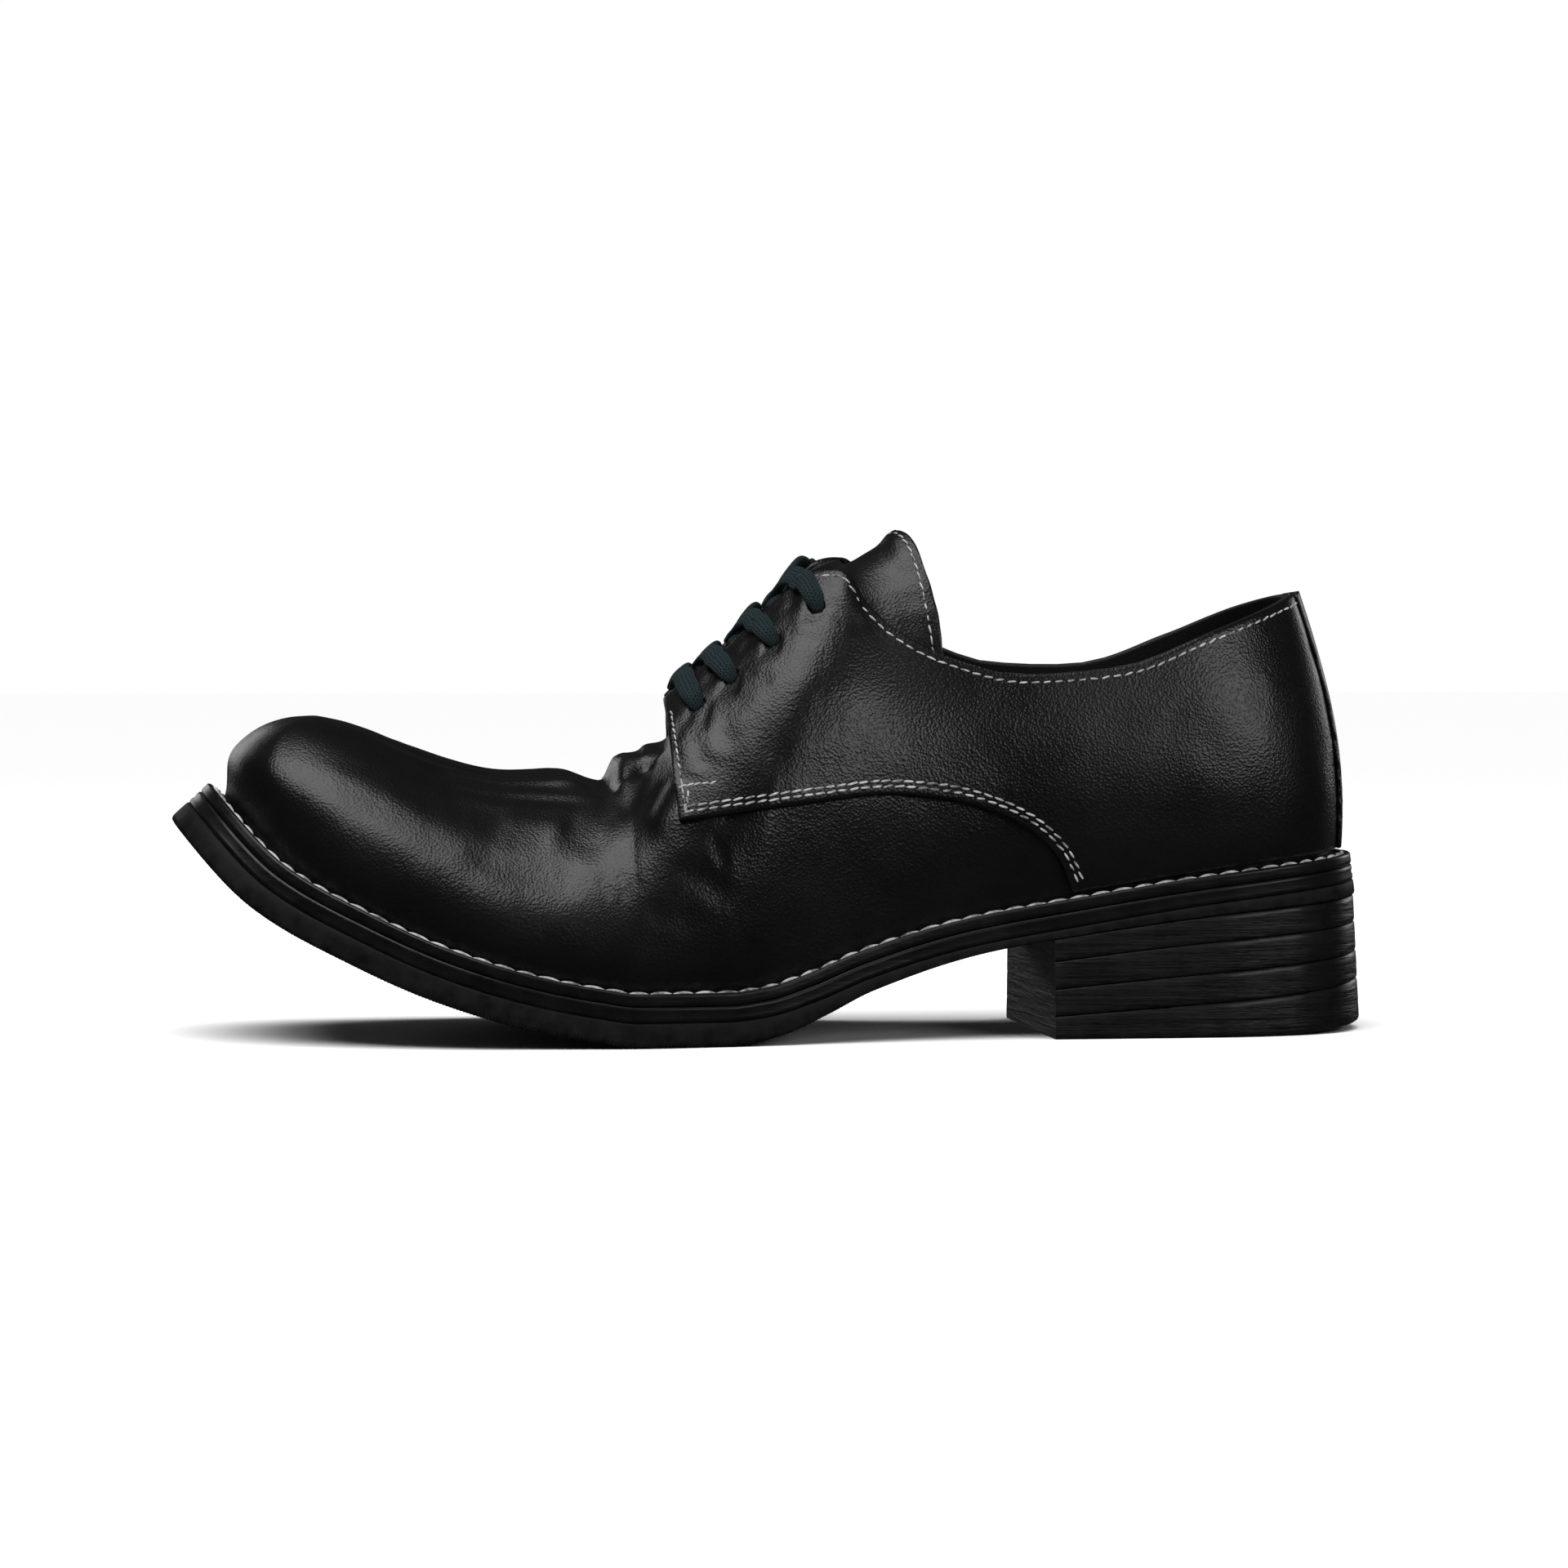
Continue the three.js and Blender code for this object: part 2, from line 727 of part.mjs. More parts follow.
const quarterInner = overlayGap;
const quarterOuter = quarterInner + facingThickness;

function quarterGeometry(side) {
  const turns = ribTurns.filter((turn) => turn >= facingFrontTurn - probe && turn < 1);
  turns.push(quarterEndTurn);
  const faceAt = (offset) => turns.map((turn) => {
    const low = seamClimb(turn, side);
    const row = [];
    for (let j = 0; j <= quarterRows; j += 1) {
      const climb = low + ((1 - low) * j) / quarterRows;
      row.push(shifted(lastPoint, turn, side, climb, offset));
    }
    return row;
  });
  return sheetSolid(faceAt(quarterOuter), faceAt(quarterInner));
}

// The strip over the back seam. turnReach: the way round the heel that one whole turn would cover
const backstayClimbs = [0.02, 0.15, 0.3, 0.45, 0.6, 0.8, 1];
const backstaySteps = 4;
const backstayTaper = 0.3;
const turnReach = 217;
function backstayGeometry() {
  const base = quarterOuter + overlayGap;
  const faceAt = (offset) => {
    const columns = [];
    for (let i = -backstaySteps; i <= backstaySteps; i += 1) {
      columns.push(backstayClimbs.map((climb) => {
        const halfWidth = backstayHalfWidth * (1 - backstayTaper * climb);
        const turn = 1 - (Math.abs(i) / backstaySteps) * (halfWidth / turnReach);
        return shifted(lastPoint, turn, i < 0 ? -1 : 1, climb, offset);
      }));
    }
    return columns;
  };
  return sheetSolid(faceAt(base + backstayThickness), faceAt(base));
}

// The tongue runs inside the facings and rises past the ridge between them
function tongueGeometry() {
  const turns = ribTurns.filter((turn) => turn > tongueRootTurn - probe && turn < tongueEndTurn + probe);
  const climbs = [lowerSteps - 2, lowerSteps - 1, lowerSteps].map((step) => step / lowerSteps);
  climbs.push(1.25, 1.5, 1.75, 2);
  const faceAt = (offset) => turns.map((turn) => {
    const row = climbs.map((climb) => shifted(lastPoint, turn, -1, climb, offset));
    const back = climbs.slice(0, -1).reverse().map((climb) => shifted(lastPoint, turn, 1, climb, offset));
    return [...row, ...back];
  });
  const outerFace = -(upperWall + overlayGap);
  return sheetSolid(faceAt(outerFace), faceAt(outerFace - tongueThickness));
}

// The laces: a flat oval band that follows the facings and bridges the throat
const laceSides = 8;
const arcOverChord = 1.12;
const laceLean = 0.009;
const diveStart = 0.7;
const diveClimb = 1.3;
const diveDrop = 1.6;
const diveLag = 0.01;
const laceSteps = 12;
const laceOffset = quarterOuter + laceGap + laceThickness / 2;

function eyeletClimb(turn, side) {
  const reach = featherPoint(turn, side).distanceTo(edgeLinePoint(turn, side));
  return 1 - eyeletSetback / (reach * arcOverChord);
}

// A run from the eyelet on one side across to a climb on the other side
function lacePath(side, fromTurn, toTurn, endClimb, endDrop) {
  const start = eyeletClimb(fromTurn, side);
  const leanEnds = endClimb < 1 ? 3 : 2;
  const path = [];
  for (let i = 0; i <= laceSteps; i += 1) {
    const share = i / laceSteps;
    const level = start + (4 - endClimb - start) * share;
    const hand = level > 2 ? -side : side;
    const climb = level > 2 ? 4 - level : level;
    const lean = laceLean * easeBetween(start, 1.6, level) * (1 - easeBetween(leanEnds, 4 - endClimb, level));
    const turn = fromTurn + (toTurn - fromTurn) * share - lean;
    const fall = endDrop * Math.max(0, (share - diveStart) / (1 - diveStart));
    path.push({
      at: shifted(lastPoint, turn, hand, climb, laceOffset - fall),
      up: surfaceNormal(lastPoint, turn, hand, Math.min(climb, 1.99)),
    });
  }
  return path;
}

function laceBand(path) {
  const faces = skin();
  const rings = path.map(({ at, up }, i) => {
    const ahead = path[Math.min(i + 1, path.length - 1)].at;
    const behind = path[Math.max(i - 1, 0)].at;
    const run = ahead.clone().sub(behind).normalize();
    const wide = new THREE.Vector3().crossVectors(run, up).normalize();
    const thick = new THREE.Vector3().crossVectors(wide, run).normalize();
    const ring = [];
    for (let k = 0; k < laceSides; k += 1) {
      const angle = ((k + 0.5) / laceSides) * 2 * Math.PI;
      ring.push(at.clone()
        .addScaledVector(wide, (laceWidth / 2) * Math.cos(angle))
        .addScaledVector(thick, (laceThickness / 2) * Math.sin(angle)));
    }
    return ring;
  });
  for (let i = 0; i < rings.length - 1; i += 1) {
    for (let k = 0; k < laceSides; k += 1) {
      const next = (k + 1) % laceSides;
      faces.quad(rings[i][k], rings[i][next], rings[i + 1][next], rings[i + 1][k]);
    }
  }
  const first = rings[0];
  const final = rings[rings.length - 1];
  for (let k = 1; k < laceSides - 1; k += 1) {
    faces.triangle(first[0], first[k + 1], first[k]);
    faces.triangle(final[0], final[k], final[k + 1]);
  }
  return closedGeometry(faces.corners);
}

function toManifold(geometry) {
  const plain = geometry.clone();
  plain.deleteAttribute('normal');
  const merged = mergeVertices(plain, 1e-3);
  return new wasm.Manifold(new wasm.Mesh({
    numProp: 3,
    vertProperties: new Float32Array(merged.attributes.position.array),
    triVerts: new Uint32Array(merged.index.array),
  }));
}

function fromManifold(solid) {
  const mesh = solid.getMesh();
  const geometry = new THREE.BufferGeometry();
  const positions = new Float32Array(mesh.numVert * 3);
  for (let i = 0; i < mesh.numVert; i += 1) {
    for (let k = 0; k < 3; k += 1) positions[i * 3 + k] = mesh.vertProperties[i * mesh.numProp + k];
  }
  geometry.setAttribute('position', new THREE.BufferAttribute(positions, 3));
  geometry.setIndex(new THREE.BufferAttribute(new Uint32Array(mesh.triVerts), 1));
  geometry.computeVertexNormals();
  return geometry;
}

function laceBarGeometry() {
  return laceBand(lacePath(-1, eyeletTurns[0], eyeletTurns[0], eyeletClimb(eyeletTurns[0], 1), 0));
}

function laceCrossingGeometry(index) {
  const from = eyeletTurns[index];
  const to = eyeletTurns[index - 1] + diveLag;
  const bands = [-1, 1].map((side) => toManifold(laceBand(lacePath(side, from, to, diveClimb, diveDrop))));
  return fromManifold(bands[0].add(bands[1]));
}

// Materials
function finish(color, roughness) {
  return new THREE.MeshStandardMaterial({ color, roughness, metalness: 0 });
}

const blackCalf = () => finish(0x17171a, 0.38);
const lining = () => finish(0x1c1b1b, 0.75);
const edgeBlack = () => finish(0x121213, 0.35);
const rubber = () => finish(0x151515, 0.6);
const stacked = () => finish(0x131314, 0.32);
const cotton = () => finish(0x22312f, 0.9);

const shoe = new THREE.Group();

function addPiece(name, geometry, material) {
  const mesh = new THREE.Mesh(geometry, material);
  mesh.name = name;
  shoe.add(mesh);
}

addPiece('upper', upperGeometry(), blackCalf());
addPiece('quarter_lateral', quarterGeometry(-1), blackCalf());
addPiece('quarter_medial', quarterGeometry(1), blackCalf());
addPiece('backstay', backstayGeometry(), blackCalf());
addPiece('tongue', tongueGeometry(), blackCalf());
addPiece('insole', insoleGeometry(), lining());
addPiece('welt', weltGeometry(), edgeBlack());
addPiece('midsole', midsoleGeometry(), edgeBlack());
addPiece('outsole', outsoleGeometry(), rubber());
heelLayers.forEach((layer, index) => addPiece(layer.name, heelLayerGeometry(index), stacked()));
addPiece('lace_bar_1', laceBarGeometry(), cotton());
for (let index = 1; index < eyeletTurns.length; index += 1) {
  addPiece(`lace_crossing_${index + 1}`, laceCrossingGeometry(index), cotton());
}

export default shoe;
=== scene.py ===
# Looks of a black leather derby shoe. Shapes in millimetres, turned into metres when a piece is made.
import math
import bpy
import bmesh
import numpy as np
from mathutils import Matrix, Vector


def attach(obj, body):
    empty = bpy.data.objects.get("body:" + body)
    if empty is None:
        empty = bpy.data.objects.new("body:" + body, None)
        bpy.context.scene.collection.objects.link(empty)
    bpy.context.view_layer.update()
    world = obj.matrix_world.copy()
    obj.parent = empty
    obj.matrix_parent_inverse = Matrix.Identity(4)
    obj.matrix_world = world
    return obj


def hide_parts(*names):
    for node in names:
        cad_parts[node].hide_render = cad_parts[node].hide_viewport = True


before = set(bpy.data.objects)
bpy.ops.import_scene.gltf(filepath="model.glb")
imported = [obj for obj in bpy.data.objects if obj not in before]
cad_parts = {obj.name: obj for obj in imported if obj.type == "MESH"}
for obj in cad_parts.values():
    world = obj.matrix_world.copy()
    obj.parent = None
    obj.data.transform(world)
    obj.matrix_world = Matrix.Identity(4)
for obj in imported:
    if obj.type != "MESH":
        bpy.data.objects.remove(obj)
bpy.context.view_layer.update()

# Sizes shared with the solids
last_length = 290.0
sole_width = 100.0
toe_spring = 53.0
seat_rise = 31.4
toe_swing = 6.0
upper_height = 100.0
inner_rise = 3.0
facing_stagger = 5.0
facing_thickness = 1.3
welt_thickness = 3.0
welt_reveal = 5.0
midsole_thickness = 3.3
fore_sole = 6.0
waist_sole = 3.2
breast_sole = 2.2
rear_sole = 3.8
heel_breast = 64.0
heel_flare = 1.6
heel_bevel_rise = 2.0
heel_bevel_start = 104.0
lace_width = 5.6
lace_thickness = 1.8
seat_gap = 0.3
overlay_gap = 0.4
middle_x = 0.8
middle_y = 1.65
half_outline = last_length / 2
probe = 0.002
facing_front = 0.44
throat = 0.46
quarter_end = 0.994
# where each lace runs: eyelet's turn, its distance from the edge, lean forward at the edge, at the top of the throat
eyelets = [(0.454, 14.0, 0.003, 0.008), (0.471, 13.5, 0.006, 0.0125), (0.4935, 13.5, 0.007, 0.0165),
           (0.521, 11.5, 0.008, 0.0205)]

toe_line = [(-0.503, 1), (-0.431, 0.59), (-0.359, 0.37), (-0.291, 0.205), (-0.219, 0.084), (-0.166, 0.025),
            (-0.131, 0), (-0.059, 0)]
seat_line = [(-0.021, 0.038), (0.017, 0.14), (0.062, 0.3), (0.149, 0.526), (0.228, 0.655), (0.359, 0.845),
             (0.503, 1)]
# turn, outer half, inner half, swing
plan = [
    (0, 0, 0, 1), (0.05, 0.135, 0.135, 1), (0.1, 0.255, 0.255, 0.98), (0.16, 0.37, 0.345, 0.93),
    (0.22, 0.458, 0.405, 0.83), (0.28, 0.518, 0.443, 0.7), (0.34, 0.55, 0.46, 0.55), (0.4, 0.55, 0.445, 0.38),
    (0.46, 0.51, 0.395, 0.2), (0.52, 0.44, 0.335, 0.08), (0.58, 0.382, 0.297, 0.02), (0.64, 0.358, 0.308, 0),
    (0.7, 0.355, 0.33, 0), (0.76, 0.35, 0.336, 0), (0.82, 0.318, 0.31, 0), (0.88, 0.248, 0.245, 0),
    (0.94, 0.135, 0.135, 0), (1, 0, 0, 0),
]
# turn, edge at, edge half, edge rise, lean, ridge at, ridge rise, stagger, lift
sections = [
    (0, -0.458, 0, 0.213, 50, -0.393, 0.416, 0, 0),
    (0.07, -0.448, 0.132, 0.23, 48, -0.393, 0.416, 0, 0),
    (0.14, -0.423, 0.234, 0.272, 43, -0.393, 0.416, 0, 0),
    (0.2, -0.381, 0.26, 0.328, 38, -0.39, 0.42, 0, 0),
    (0.27, -0.321, 0.25, 0.37, 34, -0.338, 0.45, 0, 0),
    (0.33, -0.255, 0.24, 0.38, 31, -0.266, 0.452, 0, 0),
    (0.38, -0.186, 0.23, 0.425, 31, -0.197, 0.492, 0, 0),
    (0.41, -0.138, 0.185, 0.53, 33, -0.145, 0.6, 0, 0),
    (0.44, -0.096, 0.146, 0.684, 26, -0.094, 0.714, 0.6, 0.3),
    (0.47, -0.045, 0.135, 0.803, 28, -0.045, 0.82, 0.6, 0.5),
    (0.5, 0, 0.137, 0.905, 33, -0.003, 0.912, 0.8, 0.9),
    (0.52, 0.026, 0.152, 0.943, 41, 0.021, 0.946, 1.1, 1.3),
    (0.54, 0.047, 0.185, 0.926, 51, 0.043, 0.956, 1.25, 1.4),
    (0.56, 0.066, 0.22, 0.83, 60, 0.063, 0.964, 1.2, 1.2),
    (0.59, 0.093, 0.25, 0.732, 67, 0.082, 0.977, 0.9, 1.3),
    (0.63, 0.133, 0.273, 0.64, 72, 0.0985, 1.002, 0.5, 1.6),
    (0.68, 0.2, 0.287, 0.556, 76, 0.2, 1.02, 0.3, 1.1),
    (0.74, 0.283, 0.28, 0.536, 77, 0.276, 1.02, 0.2, 0.4),
    (0.8, 0.355, 0.25, 0.582, 75, 0.338, 1.02, 0.1, 0.2),
    (0.87, 0.408, 0.18, 0.622, 73, 0.36, 1.02, 0, 0.4),
    (0.94, 0.439, 0.092, 0.648, 71, 0.36, 1.02, 0, 0.2),
    (1, 0.449, 0, 0.658, 71, 0.36, 1.02, 0, 0),
]
# at, depth, ahead, behind, foot, full
folds = [
    (-0.097, 0.125, 0.09, 0.04, 0.4, 1.15),
    (-0.15, 0.056, 0.048, 0.013, 0.7, 1.7),
    (-0.13, -0.013, 0.014, 0.018, 0.6, 1.5),
]
quarter_seam = [(-0.11, 0.525), (-0.05, 0.552), (0.018, 0.58), (0.079, 0.596), (0.127, 0.585), (0.168, 0.555),
                (0.202, 0.506), (0.226, 0.437), (0.241, 0.34)]
heel_layers = [("heel_lift_1", 0.22, 0.21), ("heel_lift_2", 0.5, 0.44), ("heel_lift_3", 0.77, 0.66),
               ("heel_top_piece", 1.0, 1.0)]


# Smooth columns, the bent sheet of the sole and the last's surface, worked on whole arrays of points
def smooth_column(xs, ys):
    xs = np.asarray(xs, float)
    ys = np.asarray(ys, float)
    step = np.diff(xs)
    slope = np.diff(ys) / step
    tangent = np.zeros_like(ys)
    tangent[0] = slope[0]
    tangent[-1] = slope[-1]
    for i in range(1, len(xs) - 1):
        if slope[i - 1] * slope[i] > 0:
            w1 = 2 * step[i] + step[i - 1]
            w2 = step[i] + 2 * step[i - 1]
            tangent[i] = (w1 + w2) / (w1 / slope[i - 1] + w2 / slope[i])

    def value(x):
        x = np.asarray(x, float)
        i = np.clip(np.searchsorted(xs, x, side="left") - 1, 0, len(xs) - 2)
        span = step[i]
        t = (x - xs[i]) / span
        rest = 1 - t
        pull = tangent[i] * span * t * rest * rest - tangent[i + 1] * span * t * t * rest
        inside = ys[i] * rest * rest * (1 + 2 * t) + ys[i + 1] * t * t * (3 - 2 * t) + pull
        low = ys[0] + tangent[0] * (x - xs[0])
        high = ys[-1] + tangent[-1] * (x - xs[-1])
        return np.where(x < xs[0], low, np.where(x > xs[-1], high, inside))
    return value


def column_of(rows, i, key=0):
    return smooth_column([row[key] for row in rows], [row[i] for row in rows])


line_height = smooth_column(
    [a * last_length for a, _ in toe_line + seat_line],
    [fore_sole + b * toe_spring for _, b in toe_line] + [fore_sole + b * seat_rise for _, b in seat_line])
sole_thickness = smooth_column(
    [share * last_length for share in (-0.06, -0.059, 0.06, 0.2, 0.36, 0.5, 0.51)],
    [fore_sole, fore_sole, waist_sole, breast_sole, (breast_sole + rear_sole) / 2, rear_sole, rear_sole])
outer_half = column_of(plan, 1)
inner_half = column_of(plan, 2)
swing_share = column_of(plan, 3)
edge_at, edge_half, edge_rise, edge_lean, ridge_at, ridge_rise, stagger_share, lift_share = [
    column_of(sections, i) for i in range(1, 9)]
seam_height = smooth_column([a * last_length for a, _ in quarter_seam], [r * upper_height for _, r in quarter_seam])


def line_slope(x):
    return np.arctan2(line_height(x + 0.5) - line_height(x - 0.5), 1.0)


def on_sheet(x, y, height):
    tilt = line_slope(x)
    return np.stack([x - height * np.sin(tilt), y + 0 * x, line_height(x) + height * np.cos(tilt)], -1)


def centre_line(turn):
    return middle_y + toe_swing * swing_share(np.clip(turn, 0, 1))


def turn_at(x):
    return np.arccos(np.clip((middle_x - x) / half_outline, -1, 1)) / math.pi


def folded(turn, side):
    side = np.where(turn < 0, -side, side)
    side = np.where(turn > 1, -side, side)
    turn = np.abs(turn)
    return np.where(turn > 1, 2 - turn, turn), side


def outline_point(turn, side):
    turn, side = folded(np.asarray(turn, float), np.asarray(side, float))
    half = sole_width * np.where(side < 0, outer_half(turn), inner_half(turn))
    return np.stack([middle_x - half_outline * np.cos(math.pi * turn), centre_line(turn) + side * half], -1)


def outward(turn, side):
    side = np.asarray(side, float)
    step = outline_point(turn + probe, side) - outline_point(turn - probe, side)
    away = np.stack([-step[..., 1] * side, step[..., 0] * side], -1)
    return away / np.linalg.norm(away, axis=-1, keepdims=True)


def inset_point(turn, side, inset):
    edge = outline_point(turn, side)
    away = outward(turn, side)
    away[..., 0] *= np.cos(line_slope(edge[..., 0]))
    return edge - away * np.asarray(inset, float)[..., None]


midsole_base = seat_gap
midsole_top = midsole_base + midsole_thickness
welt_base = midsole_top + seat_gap
welt_top = welt_base + welt_thickness
feather_height = welt_top + overlay_gap


def unit(v):
    return v / np.maximum(np.linalg.norm(v, axis=-1, keepdims=True), 1e-9)


def feather_point(turn, side):
    place = inset_point(turn, side, welt_reveal + 0 * turn)
    return on_sheet(place[..., 0], place[..., 1], feather_height)


def edge_line_point(turn, side):
    inner = np.where(side > 0, stagger_share(turn), 0)
    x = edge_at(turn) * last_length
    y = centre_line(turn_at(x)) + side * edge_half(turn) * sole_width
    z = on_sheet(x, 0 * x, welt_top)[..., 2] + edge_rise(turn) * upper_height
    lift = np.where(side > 0, lift_share(turn), 0)
    return np.stack([x + inner * facing_stagger, y, z + lift * inner_rise], -1)


def ridge_point(turn):
    x = ridge_at(turn) * last_length
    z = on_sheet(x, 0 * x, welt_top)[..., 2] + ridge_rise(turn) * upper_height
    return np.stack([x, centre_line(turn_at(x)), z], -1)


def ease(a, b, value):
    share = np.clip((value - a) / (b - a), 0, 1)
    return share * share * (3 - 2 * share)


def bezier(p0, p1, p2, p3, t):
    t = t[..., None]
    r = 1 - t
    return p0 * r ** 3 + p1 * 3 * r * r * t + p2 * 3 * r * t * t + p3 * t ** 3


low_pull, side_pull, top_pull = 0.4, 0.36, 0.36
toe_flare, side_flare, heel_turn_in = 32.0, 11.0, 10.0


def ruled_point(turn, side, climb):
    turn, side, climb = np.broadcast_arrays(*[np.asarray(v, float) for v in (turn, side, climb)])
    side = np.where(climb > 2, -side, side)
    climb = np.where(climb > 2, 4 - climb, climb)
    turn, side = folded(turn, side)
    foot = feather_point(turn, side)
    edge = edge_line_point(turn, side)
    ridge = ridge_point(turn)
    inward = (ridge - edge) * np.array([1, 1, 0])
    inward = unit(inward)
    lean = np.radians(edge_lean(turn))
    past = inward * np.cos(lean)[..., None]
    past[..., 2] = np.sin(lean)
    away = outward(turn, side)
    tilt = line_slope(foot[..., 0])
    toe = np.maximum(0, 1 - turn / 0.25)
    heel = np.maximum(0, (turn - 1) / 0.25 + 1)
    flare = np.radians(side_flare + (toe_flare - side_flare) * toe + (heel_turn_in - side_flare) * heel)
    up = np.stack([-np.sin(tilt), 0 * tilt, np.cos(tilt)], -1)
    out = np.stack([away[..., 0] * np.cos(tilt), away[..., 1], away[..., 0] * np.sin(tilt)], -1)
    start = up * np.cos(flare)[..., None] + out * np.sin(flare)[..., None]
    chord = np.linalg.norm(edge - foot, axis=-1)[..., None]
    lower = bezier(foot, foot + start * chord * low_pull, edge - past * chord * side_pull, edge,
                   np.clip(climb, 0, 1))
    before = ridge_point(np.clip(turn - probe, 0, 1))
    after = ridge_point(np.clip(turn + probe, 0, 1))
    run = after[..., 0] - before[..., 0]
    flat = np.abs(run) < 0.01
    slope = np.where(flat, 0, (after[..., 2] - before[..., 2]) / np.where(flat, 1, run))
    across = unit(np.stack([inward[..., 0], inward[..., 1], inward[..., 0] * slope], -1))
    chord = np.linalg.norm(ridge - edge, axis=-1)[..., None]
    upper = bezier(edge, edge + past * chord * top_pull, ridge - across * chord * top_pull, ridge,
                   np.clip(climb - 1, 0, 1))
    return np.where((climb <= 1)[..., None], lower, upper)


def last_point(turn, side, climb):
    """The ruled surface, evened out along the shoe below the corner of the facing."""
    turn, side, climb = np.broadcast_arrays(*[np.asarray(v, float) for v in (turn, side, climb)])
    reach = 0.013 * ease(0.49, 0.53, turn) * (1 - ease(0.6, 0.66, turn))
    reach = reach * ease(0, 0.3, climb) * (1 - ease(0.82, 1, climb))
    point = ruled_point(turn, side, climb)
    near = reach > 1e-6
    if near.any():
        point[near] = sum(share * ruled_point(turn[near] + step * reach[near], side[near], climb[near])
                          for step, share in ((-2, 0.0625), (-1, 0.25), (0, 0.375), (1, 0.25), (2, 0.0625)))
    return point


def fold_depth(turn, climb):
    x = ridge_at(turn) * last_length
    up = np.where(climb > 2, 4 - climb, climb)
    depth = 0 * x
    for at, deep, ahead, behind, foot, full in folds:
        away = x - at * last_length
        width = np.where(away < 0, ahead, behind) * last_length
        along = np.cos(np.clip(away / width, -1, 1) * math.pi / 2)
        depth = depth + deep * upper_height * along ** 2 * ease(foot, full, up)
    return depth * (1 - ease(0.462, 0.474, turn)) * (turn >= 0.3)


def leather_point(turn, side, climb):
    point = last_point(turn, side, climb)
    point[..., 2] -= fold_depth(np.broadcast_to(turn, point.shape[:-1]), np.broadcast_to(climb, point.shape[:-1]))
    return point


def normal_of(surface, turn, side, climb):
    turn, side, climb = np.broadcast_arrays(*[np.asarray(v, float) for v in (turn, side, climb)])
    along = surface(turn + probe, side, climb) - surface(turn - probe, side, climb)
    low = np.maximum(0, climb - probe)
    up = surface(turn, side, climb + probe) - surface(turn, side, low)
    normal = unit(np.cross(along, up) * -side[..., None])
    near = np.abs(climb - 2) < probe
    run = surface(turn + probe, side, 2 + 0 * climb) - surface(turn - probe, side, 2 + 0 * climb)
    top = unit(np.stack([-run[..., 2], 0 * run[..., 1], run[..., 0]], -1))
    degenerate = np.linalg.norm(run, axis=-1) < 0.01
    top = np.where(degenerate[..., None], np.array([0, 0, 1.0]), top)
    return np.where(near[..., None], top, normal)


def shifted(surface, turn, side, climb, offset):
    return surface(turn, side, climb) + normal_of(surface, turn, side, climb) * np.asarray(offset)[..., None]


# Meshes
def grid_faces(rows, columns, start=0, wrap=False):
    i, j = np.meshgrid(np.arange(rows - 1), np.arange(columns if wrap else columns - 1), indexing="ij")
    k = (j + 1) % columns
    quads = np.stack([i * columns + j, i * columns + k, (i + 1) * columns + k, (i + 1) * columns + j], -1)
    return quads.reshape(-1, 4) + start


def make_piece(name, points, faces, nodes=(), merge=0.0, uv=None):
    mesh = bpy.data.meshes.new(name)
    mesh.from_pydata((np.asarray(points) * 0.001).tolist(), [], [list(map(int, face)) for face in faces])
    if uv is not None:
        layer = mesh.uv_layers.new(name="UVMap")
        loops = np.empty(len(mesh.loops), int)
        mesh.loops.foreach_get("vertex_index", loops)
        layer.data.foreach_set("uv", np.asarray(uv, float)[loops].ravel())
    work = bmesh.new()
    work.from_mesh(mesh)
    if merge:
        bmesh.ops.remove_doubles(work, verts=work.verts, dist=merge * 0.001)
    bmesh.ops.recalc_face_normals(work, faces=work.faces)
    work.to_mesh(mesh)
    work.free()
    mesh.polygons.foreach_set("use_smooth", [True] * len(mesh.polygons))
    mesh.update()
    piece = bpy.data.objects.new(name, mesh)
    bpy.context.scene.collection.objects.link(piece)
    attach(piece, "root")
    if nodes:
        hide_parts(*nodes)
    return piece


def flip_if_inside(piece, point):
    """Turns the faces round where the one nearest the point looks away from it."""
    mesh = piece.data
    target = Vector(point) * 0.001
    face = min(mesh.polygons, key=lambda p: (p.center - target).length_squared)
    if face.normal.dot(target - face.center) <= 0:
        mesh.flip_normals()


def vertex_arrays(piece):
    mesh = piece.data
    points = np.empty(len(mesh.vertices) * 3)
    mesh.vertices.foreach_get("co", points)
    normals = np.empty(len(mesh.vertices) * 3)
    mesh.vertices.foreach_get("normal", normals)
    return points.reshape(-1, 3) * 1000, normals.reshape(-1, 3)


def set_points(piece, points):
    piece.data.vertices.foreach_set("co", (points * 0.001).ravel())
    piece.data.update()


def run_along(path):
    return np.concatenate([[0], np.cumsum(np.linalg.norm(np.diff(path, axis=0), axis=1))])


def rows_at(s, run, rows):
    return np.stack([np.interp(s, run, rows[:, k]) for k in range(3)], -1)


def spline(points, samples):
    points = np.asarray(points, float)
    if len(points) == 2:
        return points[0] + (points[1] - points[0]) * np.linspace(0, 1, samples)[:, None]
    ends = np.vstack([2 * points[0] - points[1], points, 2 * points[-1] - points[-2]])
    out = []
    for s in np.linspace(0, len(points) - 1, samples):
        i = min(int(s), len(points) - 2)
        t = s - i
        a, b, c, d = ends[i:i + 4]
        out.append(0.5 * (2 * b + (c - a) * t + (2 * a - 5 * b + 4 * c - d) * t * t
                          + (3 * b - 3 * c + d - a) * t ** 3))
    return np.array(out)


